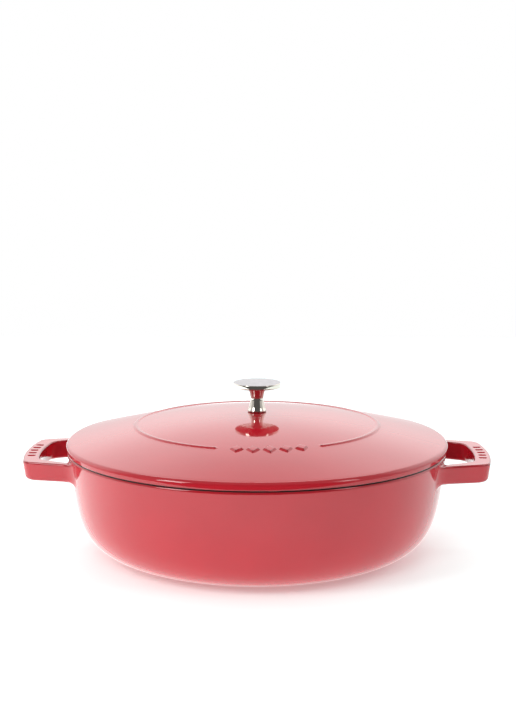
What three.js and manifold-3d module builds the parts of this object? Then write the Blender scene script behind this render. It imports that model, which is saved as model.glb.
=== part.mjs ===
// Enamelled cast iron covered pan: a shallow round pan with two cast loop handles, and a domed lid
// whose metal knob is held by a screw from below.
//
// Millimetres, +Z up. The origin is the centre of the foot, on the surface that the pan stands on.
// +X runs along the handles and the front is -Y. Angles round the pan are counted in degrees from
// the front towards +X.

import * as THREE from 'three';
import { mergeVertices } from 'three/addons/utils/BufferGeometryUtils.js';
import Module from 'manifold-3d';

// Pan
const RIM_RADIUS = 146.5; // outside of the rim
const RIM_HEIGHT = 82; // surface to the top of the rim
const WALL = 4;
const FLOOR = 4.5;
const FOOT_RADIUS = 79.5; // outer edge of the flat foot
const FOOT_RING = 8; // width of the ring that touches the surface
const FOOT_RECESS = 0.6; // how far the base inside that ring is lifted
const CORNER_INSET = 4; // rim radius less the radius that the base corner curves towards
const WALL_REACH = 53.6; // height over which the side wall stays nearly straight
const WALL_LEAN = 0.13; // outward lean of the side wall at the rim, per mm of height
const RIM_OUTER_ROUND = 2;
const RIM_INNER_ROUND = 1.2;

// Loop handles, cast in one with the pan
const HANDLE_DROP = 4.2; // top of the rim to the top face of the handle
const HANDLE_DEPTH = 14.6;
const HANDLE_REACH = 33.5; // rim to the outer face of the grip bar
const GRIP_WIDTH = 12.8;
const ARM_SPREAD = 52.2; // half the width across the arms at the wall
const ARM_TAPER_DEG = 15.6; // how far the arms turn in towards the grip bar
const GRIP_CORNER_ROUND = 8;
const ARM_FLARE_ROUND = 8; // fillet between an arm and the wall, seen from above
const ARM_WALL_WIDTH = 8.6; // arm between its outer face and the finger opening, at the wall
const ARM_TIP_WIDTH = 8.8; // the same at the grip bar
const FINGER_WALL_ROUND = 6;
const FINGER_TIP_ROUND = 8;
const HANDLE_TOP_ROUND = 1.4;
const HANDLE_OUTER_BOTTOM_ROUND = 3.4;
const HANDLE_INNER_BOTTOM_ROUND = 2;
const OUTER_DRAFT_DEG = 8.6;
const INNER_DRAFT_DEG = 3;
const RIB_COUNT = 5; // raised grip ribs on top of each grip bar
const RIB_SPREAD_DEG = 3.1;
const RIB_LENGTH = 6.4;
const RIB_WIDTH = 1.7;
const RIB_HEIGHT = 0.5;

// Lid
const LID_OVERHANG = 0.5; // lid edge beyond the rim
const SEAT_GAP = 0.3; // lid seat above the rim
const LID_EDGE_HEIGHT = 6; // seat to the shoulder where the dome starts
const SHOULDER_INSET = 2.5; // lid edge to that shoulder
const DOME_RISE = 20.9; // shoulder to the top of the dome
const DOME_FLATNESS = 0.16; // 0 is a plain parabola
const LID_THICKNESS = 3.8;
const EDGE_BOTTOM_ROUND = 1;
const LOCATING_RIB_GAP = 1.6; // locating rib to the inside of the pan
const LOCATING_RIB_DEPTH = 5;
const LOCATING_RIB_WIDTH = 4;
const BOSS_RADIUS = 12;
const BOSS_HEIGHT = 3;

// Raised ring on the lid, open at the front where a row of lozenges fills the gap
const RING_RADIUS = 93.4;
const BEAD_RADIUS = 1.5;
const BEAD_SINK = 0.2; // centre of the bead's section below the dome
const GAP_CENTRE_DEG = 6.9;
const GAP_HALF_DEG = 24.4;
const LOZENGE_COUNT = 5;
const LOZENGE_SPACING_DEG = 7.2;
const LOZENGE_WIDTH = 13.6;
const LOZENGE_LENGTH = 18; // across the ring, for the middle one
const LOZENGE_LENGTH_STEP = 1.8; // each further one is this much shorter
const LOZENGE_HEIGHT = 1.2;
const LOZENGE_SINK = 1.5;
const LOZENGE_TOP_SHARE = 0.55; // top face over foot of a lozenge

// Basting nubs under the lid
const NUB_RINGS = [
  { radius: 36, count: 6 },
  { radius: 68, count: 12 },
  { radius: 100, count: 18 },
];
const NUB_RADIUS = 3.2;
const NUB_TIP_RADIUS = 1.2;
const NUB_HEIGHT = 2.6;
const NUB_SINK = 1.5;

// Knob
const PIECE_GAP = 0.3; // between fastened pieces that touch
const KNOB_HEIGHT = 23.2;
const KNOB_RADIUS = 18.36;
const KNOB_EDGE_INSET = 0.9; // widest part of the disc to its lower edge
const KNOB_DISC_DEPTH = 4.1;
const KNOB_TOP_CROWN = 0.5;
const STEM_BASE_RADIUS = 7.2;
const STEM_WAIST_RADIUS = 4.9;
const STEM_WAIST_HEIGHT = 9.2;
const STEM_TOP_RADIUS = 6.2;

// Screw and washers under the lid
const SHANK_RADIUS = 2.9;
const SHANK_IN_KNOB = 10.5;
const SHANK_CLEARANCE = 0.4; // shank to the knob's bore and to the washers
const SCREW_HOLE_CLEARANCE = 0.6; // shank to the hole in the lid
const BORE_RUNOUT = 2.5; // bore beyond the end of the shank
const HEAD_RADIUS = 6;
const HEAD_HEIGHT = 3.5;
const HEAD_TOP_ROUND = 1.2;
const DRIVE_LENGTH = 7;
const DRIVE_WIDTH = 1.5;
const DRIVE_DEPTH = 2;
const FLAT_WASHER = { outer: 6.6, thickness: 1.6 };
const SPRING_WASHER = { outer: 5.8, thickness: 1.5, split: 1.2 };

// How finely round shapes are faceted
const ROUND_FACETS = 60;
const SMALL_FACETS = 24;
const WALL_STEPS = 15;
const DOME_STEPS = 8;
const EDGE_STEPS = 3;
const CORNER_STEPS = 5;
const BEAD_FACETS = 6;
const BEAD_STEPS = 45;
const NUB_FACETS = 6;
const STEM_STEPS = 9;

// Sizes that follow from the ones above
const LID_RADIUS = RIM_RADIUS + LID_OVERHANG;
const SEAT_Z = RIM_HEIGHT + SEAT_GAP;
const SHOULDER_RADIUS = LID_RADIUS - SHOULDER_INSET;
const SHOULDER_Z = SEAT_Z + LID_EDGE_HEIGHT;
const APEX_Z = SHOULDER_Z + DOME_RISE;
const BOSS_Z = APEX_Z - LID_THICKNESS - BOSS_HEIGHT;
const HANDLE_TOP_Z = RIM_HEIGHT - HANDLE_DROP;
const GRIP_OUTER_RADIUS = RIM_RADIUS + HANDLE_REACH;
const GRIP_INNER_RADIUS = GRIP_OUTER_RADIUS - GRIP_WIDTH;
const FLAT_WASHER_Z = BOSS_Z - PIECE_GAP - FLAT_WASHER.thickness;
const SPRING_WASHER_Z = FLAT_WASHER_Z - PIECE_GAP - SPRING_WASHER.thickness;
const HEAD_Z = SPRING_WASHER_Z - PIECE_GAP;
const KNOB_Z = APEX_Z + PIECE_GAP;
const BORE_RADIUS = SHANK_RADIUS + SHANK_CLEARANCE;
const SCREW_HOLE_RADIUS = SHANK_RADIUS + SCREW_HOLE_CLEARANCE;

const RED_ENAMEL = { color: 0xb4222e, roughness: 0.12, metalness: 0 };
const NICKEL = { color: 0xd9d7d3, roughness: 0.12, metalness: 1 };
const STEEL = { color: 0x9a9a98, roughness: 0.35, metalness: 1 };

const wasm = await Module();
wasm.setup();

const radians = THREE.MathUtils.degToRad;

// ---------------------------------------------------------------- solids

// A closed geometry as a manifold solid.
function solidOf(geometry) {
  const bare = geometry.clone();
  bare.deleteAttribute('normal');
  bare.deleteAttribute('uv');
  const merged = mergeVertices(bare);
  return new wasm.Manifold(new wasm.Mesh({
    numProp: 3,
    vertProperties: merged.attributes.position.array,
    triVerts: new Uint32Array(merged.index.array),
  }));
}

// A manifold solid as a geometry.
function geometryOf(solid) {
  const mesh = solid.getMesh();
  const geometry = new THREE.BufferGeometry();
  geometry.setAttribute('position', new THREE.BufferAttribute(mesh.vertProperties, 3));
  geometry.setIndex(new THREE.BufferAttribute(mesh.triVerts, 1));
  geometry.computeVertexNormals();
  return geometry;
}

// A profile of [radius, height] pairs turned about the Z axis. The profile runs out along the
// bottom, up the outside and back along the top.
function turned(profile, facets = ROUND_FACETS) {
  const points = profile.map(([radius, height]) => new THREE.Vector2(radius, height));
  return new THREE.LatheGeometry(points, facets).rotateX(Math.PI / 2);
}

// [radius, height] pairs round an arc, from one angle to another, in degrees.
function arc(centre, radius, fromDeg, toDeg, steps = EDGE_STEPS) {
  return Array.from({ length: steps + 1 }, (_, i) => {
    const angle = radians(THREE.MathUtils.lerp(fromDeg, toDeg, i / steps));
    return [centre[0] + radius * Math.cos(angle), centre[1] + radius * Math.sin(angle)];
  });
}

// Moves a geometry out along the front radius and turns it round the Z axis, from the front.
function placedRound(geometry, radius, height, degrees) {
  return geometry.translate(0, -radius, height).rotateZ(radians(degrees));
}

// ---------------------------------------------------------------- pan

// The outside of the side wall, from the foot to the rim.
const wallCurve = new THREE.CubicBezierCurve(
  new THREE.Vector2(FOOT_RADIUS, 0),
  new THREE.Vector2(RIM_RADIUS - CORNER_INSET, 0),
  new THREE.Vector2(RIM_RADIUS - WALL_LEAN * WALL_REACH, RIM_HEIGHT - WALL_REACH),
  new THREE.Vector2(RIM_RADIUS, RIM_HEIGHT),
);

// Points of the side wall between two heights, set in from the outside by a distance.
function wallPoints(inset, lowest, highest) {
  const points = [];
  for (let i = 0; i <= WALL_STEPS; i += 1) {
    const share = i / WALL_STEPS;
    const point = wallCurve.getPoint(share);
    const along = wallCurve.getTangent(share);
    const radius = point.x - along.y * inset;
    const height = point.y + along.x * inset;
    if (height > lowest && height < highest) points.push([radius, height]);
  }
  return points;
}

// Radius of the wall at the rim, set in from the outside by a distance.
const rimRadius = (inset) => RIM_RADIUS - inset * Math.sqrt(1 + WALL_LEAN ** 2);

function panBody() {
  const recessRadius = FOOT_RADIUS - FOOT_RING;
  return solidOf(turned([
    [0, FOOT_RECESS],
    [recessRadius - FOOT_RECESS, FOOT_RECESS],
    [recessRadius, 0],
    [FOOT_RADIUS, 0],
    ...wallPoints(0, 0.2, RIM_HEIGHT - RIM_OUTER_ROUND),
    ...arc([RIM_RADIUS - RIM_OUTER_ROUND, RIM_HEIGHT - RIM_OUTER_ROUND], RIM_OUTER_ROUND, 0, 90),
    [0, RIM_HEIGHT],
  ]));
}

function panCavity() {
  const floorZ = FOOT_RECESS + FLOOR;
  const wall = wallPoints(WALL, floorZ, RIM_HEIGHT - RIM_INNER_ROUND);
  const lipRadius = rimRadius(WALL) + RIM_INNER_ROUND;
  return solidOf(turned([
    [0, floorZ],
    [wall[0][0] - 1, floorZ],
    ...wall,
    ...arc([lipRadius, RIM_HEIGHT - RIM_INNER_ROUND], RIM_INNER_ROUND, 180, 90),
    [lipRadius, RIM_HEIGHT + 1],
    [0, RIM_HEIGHT + 1],
  ]));
}

// A closed loop of points through corners { x, y, round }, each rounded by its own radius.
function roundedLoop(corners) {
  return corners.flatMap(({ x, y, round }, i) => {
    const corner = new THREE.Vector2(x, y);
    if (!round) return [corner];
    const before = corners[(i + corners.length - 1) % corners.length];
    const after = corners[(i + 1) % corners.length];
    const back = new THREE.Vector2(before.x - x, before.y - y).normalize();
    const ahead = new THREE.Vector2(after.x - x, after.y - y).normalize();
    const half = Math.acos(back.dot(ahead)) / 2;
    const centre = back.clone().add(ahead).setLength(round / Math.sin(half)).add(corner);
    const start = corner.clone().addScaledVector(back, round / Math.tan(half)).sub(centre);
    const turn = Math.sign(back.cross(ahead)) * -1 * (Math.PI - 2 * half);
    return Array.from({ length: CORNER_STEPS + 1 }, (_, step) => (
      start.clone().rotateAround(new THREE.Vector2(), (turn * step) / CORNER_STEPS).add(centre)
    ));
  });
}

// A counter-clockwise loop moved inwards by a distance, or outwards where it is negative.
function insetLoop(loop, distance) {
  const inward = (from, to) => new THREE.Vector2(from.y - to.y, to.x - from.x).normalize();
  return loop.map((point, i) => {
    const before = inward(loop[(i + loop.length - 1) % loop.length], point);
    const after = inward(point, loop[(i + 1) % loop.length]);
    return before.clone().add(after).multiplyScalar(distance / (1 + before.dot(after))).add(point);
  });
}

// A plate with one opening, lofted through levels { z, outer, inner } from the bottom up. Each
// level moves the outline in by outer and widens the opening by inner.
function loftedPlate(outline, opening, levels) {
  const rings = levels.map(({ z, outer, inner }) => (
    [...insetLoop(outline, outer), ...insetLoop(opening, -inner)].map(({ x, y }) => [x, y, z])
  ));
  const count = outline.length + opening.length;
  const index = [];
  const side = (a, b, c, d) => index.push(a, b, c, a, c, d);
  for (let level = 0; level < levels.length - 1; level += 1) {
    const low = level * count;
    const high = low + count;
    outline.forEach((_, i) => {
      const next = (i + 1) % outline.length;
      side(low + i, low + next, high + next, high + i);
    });
    opening.forEach((_, i) => {
      const here = outline.length + i;
      const next = outline.length + ((i + 1) % opening.length);
      side(low + next, low + here, high + here, high + next);
    });
  }
  const top = (levels.length - 1) * count;
  const flat = (ring) => ring.map(([x, y]) => new THREE.Vector2(x, y));
  const cap = (ring) => THREE.ShapeUtils.triangulateShape(
    flat(ring.slice(0, outline.length)),
    [flat(ring.slice(outline.length))],
  );
  cap(rings[0]).forEach(([a, b, c]) => index.push(c, b, a));
  cap(rings.at(-1)).forEach(([a, b, c]) => index.push(top + a, top + b, top + c));
  const geometry = new THREE.BufferGeometry();
  geometry.setAttribute('position', new THREE.Float32BufferAttribute(rings.flat(2), 3));
  geometry.setIndex(index);
  return geometry;
}

// Corners given for -Y, followed by their mirror images in reverse order.
const mirrored = (corners) => [...corners, ...corners.map((c) => ({ ...c, y: -c.y })).reverse()];

// Where the line that leaves { x, y } at an angle meets a circle round the origin.
function lineToCircle({ x, y }, degrees, radius) {
  const along = new THREE.Vector2(Math.cos(radians(degrees)), Math.sin(radians(degrees)));
  const near = x * along.x + y * along.y;
  const reach = Math.sqrt(radius ** 2 - (x ** 2 + y ** 2 - near ** 2)) - near;
  return { x: x + along.x * reach, y: y + along.y * reach };
}

function handle() {
  const onCircle = (radius, y) => ({ x: Math.sqrt(radius ** 2 - y ** 2), y });
  const buried = RIM_RADIUS - WALL / 3; // inside the wall, so that the plate fuses with it
  const armRoot = onCircle(buried, -ARM_SPREAD);
  const corner = lineToCircle(armRoot, ARM_TAPER_DEG, GRIP_OUTER_RADIUS);
  const gripArc = (radius, end, round) => [
    { ...end, round },
    ...[0.7, 0.42, 0.14].map((share) => onCircle(radius, end.y * share)),
  ];
  const flareEnd = onCircle(buried, -ARM_SPREAD - ARM_FLARE_ROUND);
  const outline = roundedLoop(mirrored([
    { x: flareEnd.x - 4 * WALL, y: flareEnd.y },
    flareEnd,
    { ...armRoot, round: ARM_FLARE_ROUND },
    ...gripArc(GRIP_OUTER_RADIUS, corner, GRIP_CORNER_ROUND),
  ]));
  const innerCorner = onCircle(GRIP_INNER_RADIUS, corner.y + ARM_TIP_WIDTH);
  const opening = roundedLoop(mirrored([
    { ...onCircle(buried, ARM_WALL_WIDTH - ARM_SPREAD), round: FINGER_WALL_ROUND },
    ...gripArc(GRIP_INNER_RADIUS, innerCorner, FINGER_TIP_ROUND),
  ]));
  const bottomZ = HANDLE_TOP_Z - HANDLE_DEPTH;
  const draft = (z, degrees) => (HANDLE_TOP_Z - HANDLE_TOP_ROUND - z) * Math.tan(radians(degrees));
  const bottom = [90, 60, 30, 0].map((deg) => {
    const z = bottomZ + HANDLE_OUTER_BOTTOM_ROUND * (1 - Math.sin(radians(deg)));
    const round = 1 - Math.cos(radians(deg));
    return {
      z,
      outer: draft(z, OUTER_DRAFT_DEG) + HANDLE_OUTER_BOTTOM_ROUND * round,
      inner: draft(z, INNER_DRAFT_DEG) + HANDLE_INNER_BOTTOM_ROUND * round,
    };
  });
  const top = [0, 45, 90].map((deg) => {
    const inset = HANDLE_TOP_ROUND * (1 - Math.cos(radians(deg)));
    const z = HANDLE_TOP_Z - HANDLE_TOP_ROUND * (1 - Math.sin(radians(deg)));
    return { z, outer: inset, inner: inset };
  });
  let solid = solidOf(loftedPlate(outline, opening, [...bottom, ...top]));
  for (let i = 0; i < RIB_COUNT; i += 1) {
    const rib = new THREE.BoxGeometry(RIB_WIDTH, RIB_LENGTH, RIB_HEIGHT * 4);
    const degrees = 90 + (i - (RIB_COUNT - 1) / 2) * RIB_SPREAD_DEG;
    const radius = (GRIP_OUTER_RADIUS + GRIP_INNER_RADIUS) / 2;
    solid = solid.add(solidOf(placedRound(rib, radius, HANDLE_TOP_Z - RIB_HEIGHT, degrees)));
  }
  return solid;
}

function pan() {
  const right = handle();
  const left = right.rotate([0, 0, 180]);
  return geometryOf(panBody().add(right).add(left).subtract(panCavity()));
}

// ---------------------------------------------------------------- lid

// Height of the lid's outer surface at a radius.
function domeZ(radius) {
  const share = (radius / SHOULDER_RADIUS) ** 2;
  return APEX_Z - DOME_RISE * ((1 + DOME_FLATNESS) * share - DOME_FLATNESS * share ** 2);
}

// Slope of the lid's outer surface at a radius, in degrees below level.
function domeSlopeDeg(radius) {
  const step = 0.01;
  return THREE.MathUtils.radToDeg(Math.atan((domeZ(radius - step) - domeZ(radius)) / step));
}

function domePoints(inner, outer, drop) {
  return Array.from({ length: DOME_STEPS + 1 }, (_, i) => {
    const radius = THREE.MathUtils.lerp(inner, outer, i / DOME_STEPS);
    return [radius, domeZ(radius) - drop];
  });
}

function lidShell() {
  const slope = domeSlopeDeg(SHOULDER_RADIUS);
  const edgeRound = SHOULDER_INSET / (1 - Math.sin(radians(slope)));
  const edgeCentre = [LID_RADIUS - edgeRound, SHOULDER_Z - edgeRound * Math.cos(radians(slope))];
  const ribOuter = rimRadius(WALL) - WALL_LEAN * LOCATING_RIB_DEPTH - LOCATING_RIB_GAP;
  const ribInner = ribOuter - LOCATING_RIB_WIDTH;
  const ribZ = SEAT_Z - LOCATING_RIB_DEPTH;
  const start = [SCREW_HOLE_RADIUS, BOSS_Z];
  return solidOf(turned([
    start,
    [BOSS_RADIUS, BOSS_Z],
    ...domePoints(BOSS_RADIUS + 1, ribInner - 1, LID_THICKNESS),
    [ribInner, domeZ(ribInner) - LID_THICKNESS - 1],
    [ribInner + 0.5, ribZ],
    [ribOuter - 0.5, ribZ],
    [ribOuter, SEAT_Z],
    ...arc([LID_RADIUS - EDGE_BOTTOM_ROUND, SEAT_Z + EDGE_BOTTOM_ROUND], EDGE_BOTTOM_ROUND, -90, 0),
    ...arc(edgeCentre, edgeRound, 0, 90 - slope),
    ...domePoints(SCREW_HOLE_RADIUS, SHOULDER_RADIUS, 0).reverse().slice(1),
    start,
  ]));
}

// The raised ring is one bead on the dome, open over the gap.
function bead() {
  const height = domeZ(RING_RADIUS) - BEAD_SINK;
  const path = new THREE.Curve();
  path.getPoint = (share, target = new THREE.Vector3()) => {
    const degrees = GAP_CENTRE_DEG + THREE.MathUtils.lerp(GAP_HALF_DEG, 360 - GAP_HALF_DEG, share);
    const angle = radians(degrees);
    return target.set(RING_RADIUS * Math.sin(angle), -RING_RADIUS * Math.cos(angle), height);
  };
  const section = new THREE.Shape().absarc(0, 0, BEAD_RADIUS, 0, Math.PI * 2);
  return solidOf(new THREE.ExtrudeGeometry(section, {
    extrudePath: path,
    steps: BEAD_STEPS,
    curveSegments: BEAD_FACETS,
    bevelEnabled: false,
  }));
}

function lozenges() {
  return Array.from({ length: LOZENGE_COUNT }, (_, i) => {
    const place = i - (LOZENGE_COUNT - 1) / 2;
    const length = LOZENGE_LENGTH - Math.abs(place) * LOZENGE_LENGTH_STEP;
    const height = LOZENGE_HEIGHT + LOZENGE_SINK;
    const shape = new THREE.CylinderGeometry(LOZENGE_TOP_SHARE / 2, 0.5, height, 4)
      .rotateX(Math.PI / 2)
      .scale(LOZENGE_WIDTH, length, 1)
      .translate(0, 0, height / 2 - LOZENGE_SINK)
      .rotateX(radians(domeSlopeDeg(RING_RADIUS)));
    const degrees = GAP_CENTRE_DEG + place * LOZENGE_SPACING_DEG;
    return solidOf(placedRound(shape, RING_RADIUS, domeZ(RING_RADIUS), degrees));
  });
}

function nubs() {
  return NUB_RINGS.flatMap(({ radius, count }) => Array.from({ length: count }, (_, i) => {
    const height = NUB_HEIGHT + NUB_SINK;
    const underside = domeZ(radius) - LID_THICKNESS;
    const shape = new THREE.CylinderGeometry(NUB_RADIUS, NUB_TIP_RADIUS, height, NUB_FACETS)
      .rotateX(Math.PI / 2);
    return solidOf(placedRound(shape, radius, underside - NUB_HEIGHT + height / 2, (i * 360) / count));
  }));
}

function lid() {
  const raised = [bead(), ...lozenges(), ...nubs()];
  return geometryOf(raised.reduce((whole, piece) => whole.add(piece), lidShell()));
}

// ---------------------------------------------------------------- knob and its fastening

function knob() {
  const discZ = KNOB_HEIGHT - KNOB_DISC_DEPTH;
  const stem = new THREE.SplineCurve([
    new THREE.Vector2(STEM_BASE_RADIUS, 1),
    new THREE.Vector2((STEM_BASE_RADIUS + STEM_WAIST_RADIUS) / 2, STEM_WAIST_HEIGHT / 2.6),
    new THREE.Vector2(STEM_WAIST_RADIUS, STEM_WAIST_HEIGHT),
    new THREE.Vector2(STEM_TOP_RADIUS - 0.4, discZ - 2),
    new THREE.Vector2(STEM_TOP_RADIUS + 1, discZ - 0.3),
  ]).getPoints(STEM_STEPS).map(({ x, y }) => [x, y]);
  const start = [BORE_RADIUS, 0];
  const boreDepth = SHANK_IN_KNOB + BORE_RUNOUT;
  return turned([
    start,
    [STEM_BASE_RADIUS - 0.4, 0],
    ...stem,
    [KNOB_RADIUS - KNOB_EDGE_INSET - 1.2, discZ],
    [KNOB_RADIUS - KNOB_EDGE_INSET, discZ + 0.7],
    [KNOB_RADIUS, KNOB_HEIGHT - KNOB_TOP_CROWN - 1.2],
    [KNOB_RADIUS - 0.3, KNOB_HEIGHT - KNOB_TOP_CROWN - 0.3],
    [KNOB_RADIUS - 1.2, KNOB_HEIGHT - KNOB_TOP_CROWN],
    [KNOB_RADIUS / 2, KNOB_HEIGHT - KNOB_TOP_CROWN / 4],
    [0, KNOB_HEIGHT],
    [0, boreDepth],
    [BORE_RADIUS, boreDepth - BORE_RADIUS / 2],
    start,
  ], SMALL_FACETS);
}

function screw() {
  const shankTop = KNOB_Z + SHANK_IN_KNOB;
  const headEdge = [HEAD_RADIUS - HEAD_TOP_ROUND, HEAD_Z - HEAD_HEIGHT + HEAD_TOP_ROUND];
  const body = solidOf(turned([
    [0, HEAD_Z - HEAD_HEIGHT],
    ...arc(headEdge, HEAD_TOP_ROUND, -90, 0),
    [HEAD_RADIUS, HEAD_Z],
    [SHANK_RADIUS, HEAD_Z],
    [SHANK_RADIUS, shankTop - 1],
    [SHANK_RADIUS - 1, shankTop],
    [0, shankTop],
  ], SMALL_FACETS));
  const slot = (width, length) => solidOf(
    new THREE.BoxGeometry(width, length, DRIVE_DEPTH * 2).translate(0, 0, HEAD_Z - HEAD_HEIGHT),
  );
  return geometryOf(body
    .subtract(slot(DRIVE_LENGTH, DRIVE_WIDTH))
    .subtract(slot(DRIVE_WIDTH, DRIVE_LENGTH)));
}

function flatWasher() {
  const { outer, thickness } = FLAT_WASHER;
  const start = [BORE_RADIUS, 0];
  const profile = [start, [outer, 0], [outer, thickness], [BORE_RADIUS, thickness], start];
  return turned(profile, SMALL_FACETS);
}

// A ring with one split, drawn flat as it lies when the screw is tight.
function springWasher() {
  const { outer, thickness, split } = SPRING_WASHER;
  const gap = (radius) => Math.asin(split / 2 / radius);
  const shape = new THREE.Shape()
    .absarc(0, 0, outer, gap(outer), Math.PI * 2 - gap(outer), false)
    .absarc(0, 0, BORE_RADIUS, Math.PI * 2 - gap(BORE_RADIUS), gap(BORE_RADIUS), true);
  return new THREE.ExtrudeGeometry(shape, {
    depth: thickness,
    curveSegments: SMALL_FACETS,
    bevelEnabled: false,
  });
}

// ---------------------------------------------------------------- assembly

const group = new THREE.Group();

function place(name, geometry, finish, height = 0) {
  const mesh = new THREE.Mesh(geometry, new THREE.MeshStandardMaterial(finish));
  mesh.name = name;
  mesh.position.z = height;
  group.add(mesh);
}

place('pan', pan(), RED_ENAMEL);
place('lid', lid(), RED_ENAMEL);
place('lid_knob', knob(), NICKEL, KNOB_Z);
place('knob_screw', screw(), STEEL);
place('flat_washer', flatWasher(), STEEL, FLAT_WASHER_Z);
place('spring_washer', springWasher(), STEEL, SPRING_WASHER_Z);

export default group;
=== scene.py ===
"""Covered cast iron pan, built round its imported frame.

A shallow round pan with two loop handles cast in one with it, and a domed lid with a turned metal
knob that a screw and two washers hold from below. Pan and lid are coated in glossy red enamel
outside and in fine-grained black enamel inside. Lengths are in metres.
"""

import math

import bmesh
import bpy
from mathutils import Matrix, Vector


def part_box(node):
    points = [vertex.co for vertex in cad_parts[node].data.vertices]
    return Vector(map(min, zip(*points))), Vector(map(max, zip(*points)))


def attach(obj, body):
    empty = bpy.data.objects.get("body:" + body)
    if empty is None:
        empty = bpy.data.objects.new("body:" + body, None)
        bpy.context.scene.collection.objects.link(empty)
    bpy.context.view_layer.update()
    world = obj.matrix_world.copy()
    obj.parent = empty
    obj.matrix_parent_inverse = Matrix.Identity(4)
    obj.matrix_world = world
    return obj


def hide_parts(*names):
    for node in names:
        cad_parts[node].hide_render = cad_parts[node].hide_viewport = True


bl_info = {
    "name": "Covered Cast Iron Pan",
    "version": (1, 0, 0),
    "blender": (4, 5, 0),
    "location": "3D View > Sidebar > Covered Pan",
    "description": "Builds an enamelled cast iron pan with its lid, knob and knob fastening",
    "category": "Add Mesh",
}

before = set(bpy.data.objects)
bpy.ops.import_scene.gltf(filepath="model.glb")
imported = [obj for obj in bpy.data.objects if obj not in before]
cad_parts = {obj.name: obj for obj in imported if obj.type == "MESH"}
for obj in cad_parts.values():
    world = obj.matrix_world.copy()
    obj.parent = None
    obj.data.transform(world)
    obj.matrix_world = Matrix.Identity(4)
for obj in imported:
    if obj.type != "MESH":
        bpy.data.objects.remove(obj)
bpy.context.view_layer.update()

PAN_BODY = "pan_body"
LID_BODY = "lid_body"
ENAMEL_SLOT = "enamelled_iron"
NICKEL_SLOT = "nickel_plate"
STEEL_SLOT = "steel"


# ---------------------------------------------------------------- units and properties


def mm(value):
    """Millimetres as metres."""
    return value / 1000


def per_mm(size):
    """Texture scale whose features are about this many millimetres across, on Object coordinates."""
    return 1 / mm(size)


def linear(hex_value):
    """An sRGB hex colour as linear red, green and blue."""
    parts = [int(hex_value[i : i + 2], 16) / 255 for i in (1, 3, 5)]
    return [p / 12.92 if p <= 0.04045 else ((p + 0.055) / 1.055) ** 2.4 for p in parts]


def length(name, description, millimetres):
    return bpy.props.FloatProperty(
        name=name, description=description, default=mm(millimetres), min=0, precision=5, unit="LENGTH"
    )


def angle(name, description, degrees):
    return bpy.props.FloatProperty(
        name=name,
        description=description,
        default=math.radians(degrees),
        subtype="ANGLE",
        unit="ROTATION",
    )


def count(name, description, number):
    return bpy.props.IntProperty(name=name, description=description, default=number, min=1)


def share(name, description, value):
    return bpy.props.FloatProperty(
        name=name, description=description, default=value, min=0, max=1, subtype="FACTOR"
    )


def brightness(name, description, value):
    return bpy.props.FloatProperty(name=name, description=description, default=value, min=0)


def power(name, description, watts):
    return bpy.props.FloatProperty(
        name=name, description=description, default=watts, min=0, unit="POWER"
    )


def colour(name, description, hex_value):
    return bpy.props.FloatVectorProperty(
        name=name,
        description=description,
        default=linear(hex_value),
        size=3,
        min=0,
        max=1,
        subtype="COLOR",
    )


class PanSizes(bpy.types.PropertyGroup):
    """Sizes of the pan casting"""

    rim_radius: length("Rim radius", "Outside of the rim", 146.5)
    rim_height: length("Rim height", "Surface to the top of the rim", 82)
    wall: length("Wall", "Thickness of the side wall", 4)
    floor_top: length("Floor top", "Height of the cooking surface", 5.1)
    foot_radius: length("Foot radius", "Outer edge of the flat foot", 79.5)
    foot_ring: length("Foot ring", "Width of the ring that the pan stands on", 8)
    foot_recess: length("Foot recess", "How far the base inside the foot ring is lifted", 0.6)
    corner_inset: length("Corner inset", "Rim radius less the radius the base corner curves towards", 4)
    wall_reach: length("Wall reach", "Height over which the side wall stays nearly straight", 53.6)
    wall_lean: share("Wall lean", "Outward lean of the side wall at the rim, per unit of height", 0.13)
    rim_outer_round: length("Rim outer round", "Rounding of the outer edge of the rim", 2)
    rim_inner_round: length("Rim inner round", "Rounding of the inner edge of the rim", 1.2)


class HandleSizes(bpy.types.PropertyGroup):
    """Sizes of the two loop handles"""

    drop: length("Drop", "Top of the rim to the top face of the handle", 4.2)
    depth: length("Depth", "Top face to the underside", 14.6)
    grip_width: length("Grip width", "Width of the grip bar from above", 12.8)
    arm_spread: length("Arm spread", "Half the width across the arms, at the wall", 52.2)
    arm_taper: angle("Arm taper", "How far the arms turn in towards the grip bar", 15.6)
    arm_wall_width: length("Arm width at the wall", "Width of an arm where it leaves the wall", 8.6)
    arm_tip_width: length("Arm width at the grip", "Width of an arm where it meets the grip bar", 8.8)
    corner_round: length("Corner round", "Rounding of the outer corners from above", 8)
    opening_round: length("Opening round", "Rounding of the finger opening's corners from above", 13)
    top_round: length("Top round", "Rounding of the top edges", 1.4)
    outer_bottom_round: length("Outer bottom round", "Rounding of the outer lower edge", 3.4)
    inner_bottom_round: length("Inner bottom round", "Rounding of the inner lower edge", 2.4)
    outer_draft: angle("Outer draft", "Lean of the outer face, so the casting leaves its mould", 8.6)
    inner_draft: angle("Inner draft", "Lean of the inner face", 3)
    flare_outside: length("Outer flare", "Fillet to the wall on the outside of an arm", 8)
    flare_inside: length("Inner flare", "Fillet to the wall in the finger opening", 6)
    flare_below: length("Lower flare", "Fillet to the wall under an arm", 4.6)
    flare_above: length("Upper flare", "Fillet to the wall over an arm", 1.5)
    rib_count: count("Rib count", "Raised ribs on top of each grip bar", 5)
    rib_step: angle("Rib step", "Angle between two ribs, seen from the pan's axis", 3.1)
    rib_length: length("Rib length", "Length of a rib across the grip bar", 6.4)
    rib_width: length("Rib width", "Width of a rib", 1.7)
    rib_height: length("Rib height", "Height of a rib over the grip bar", 0.5)


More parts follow.
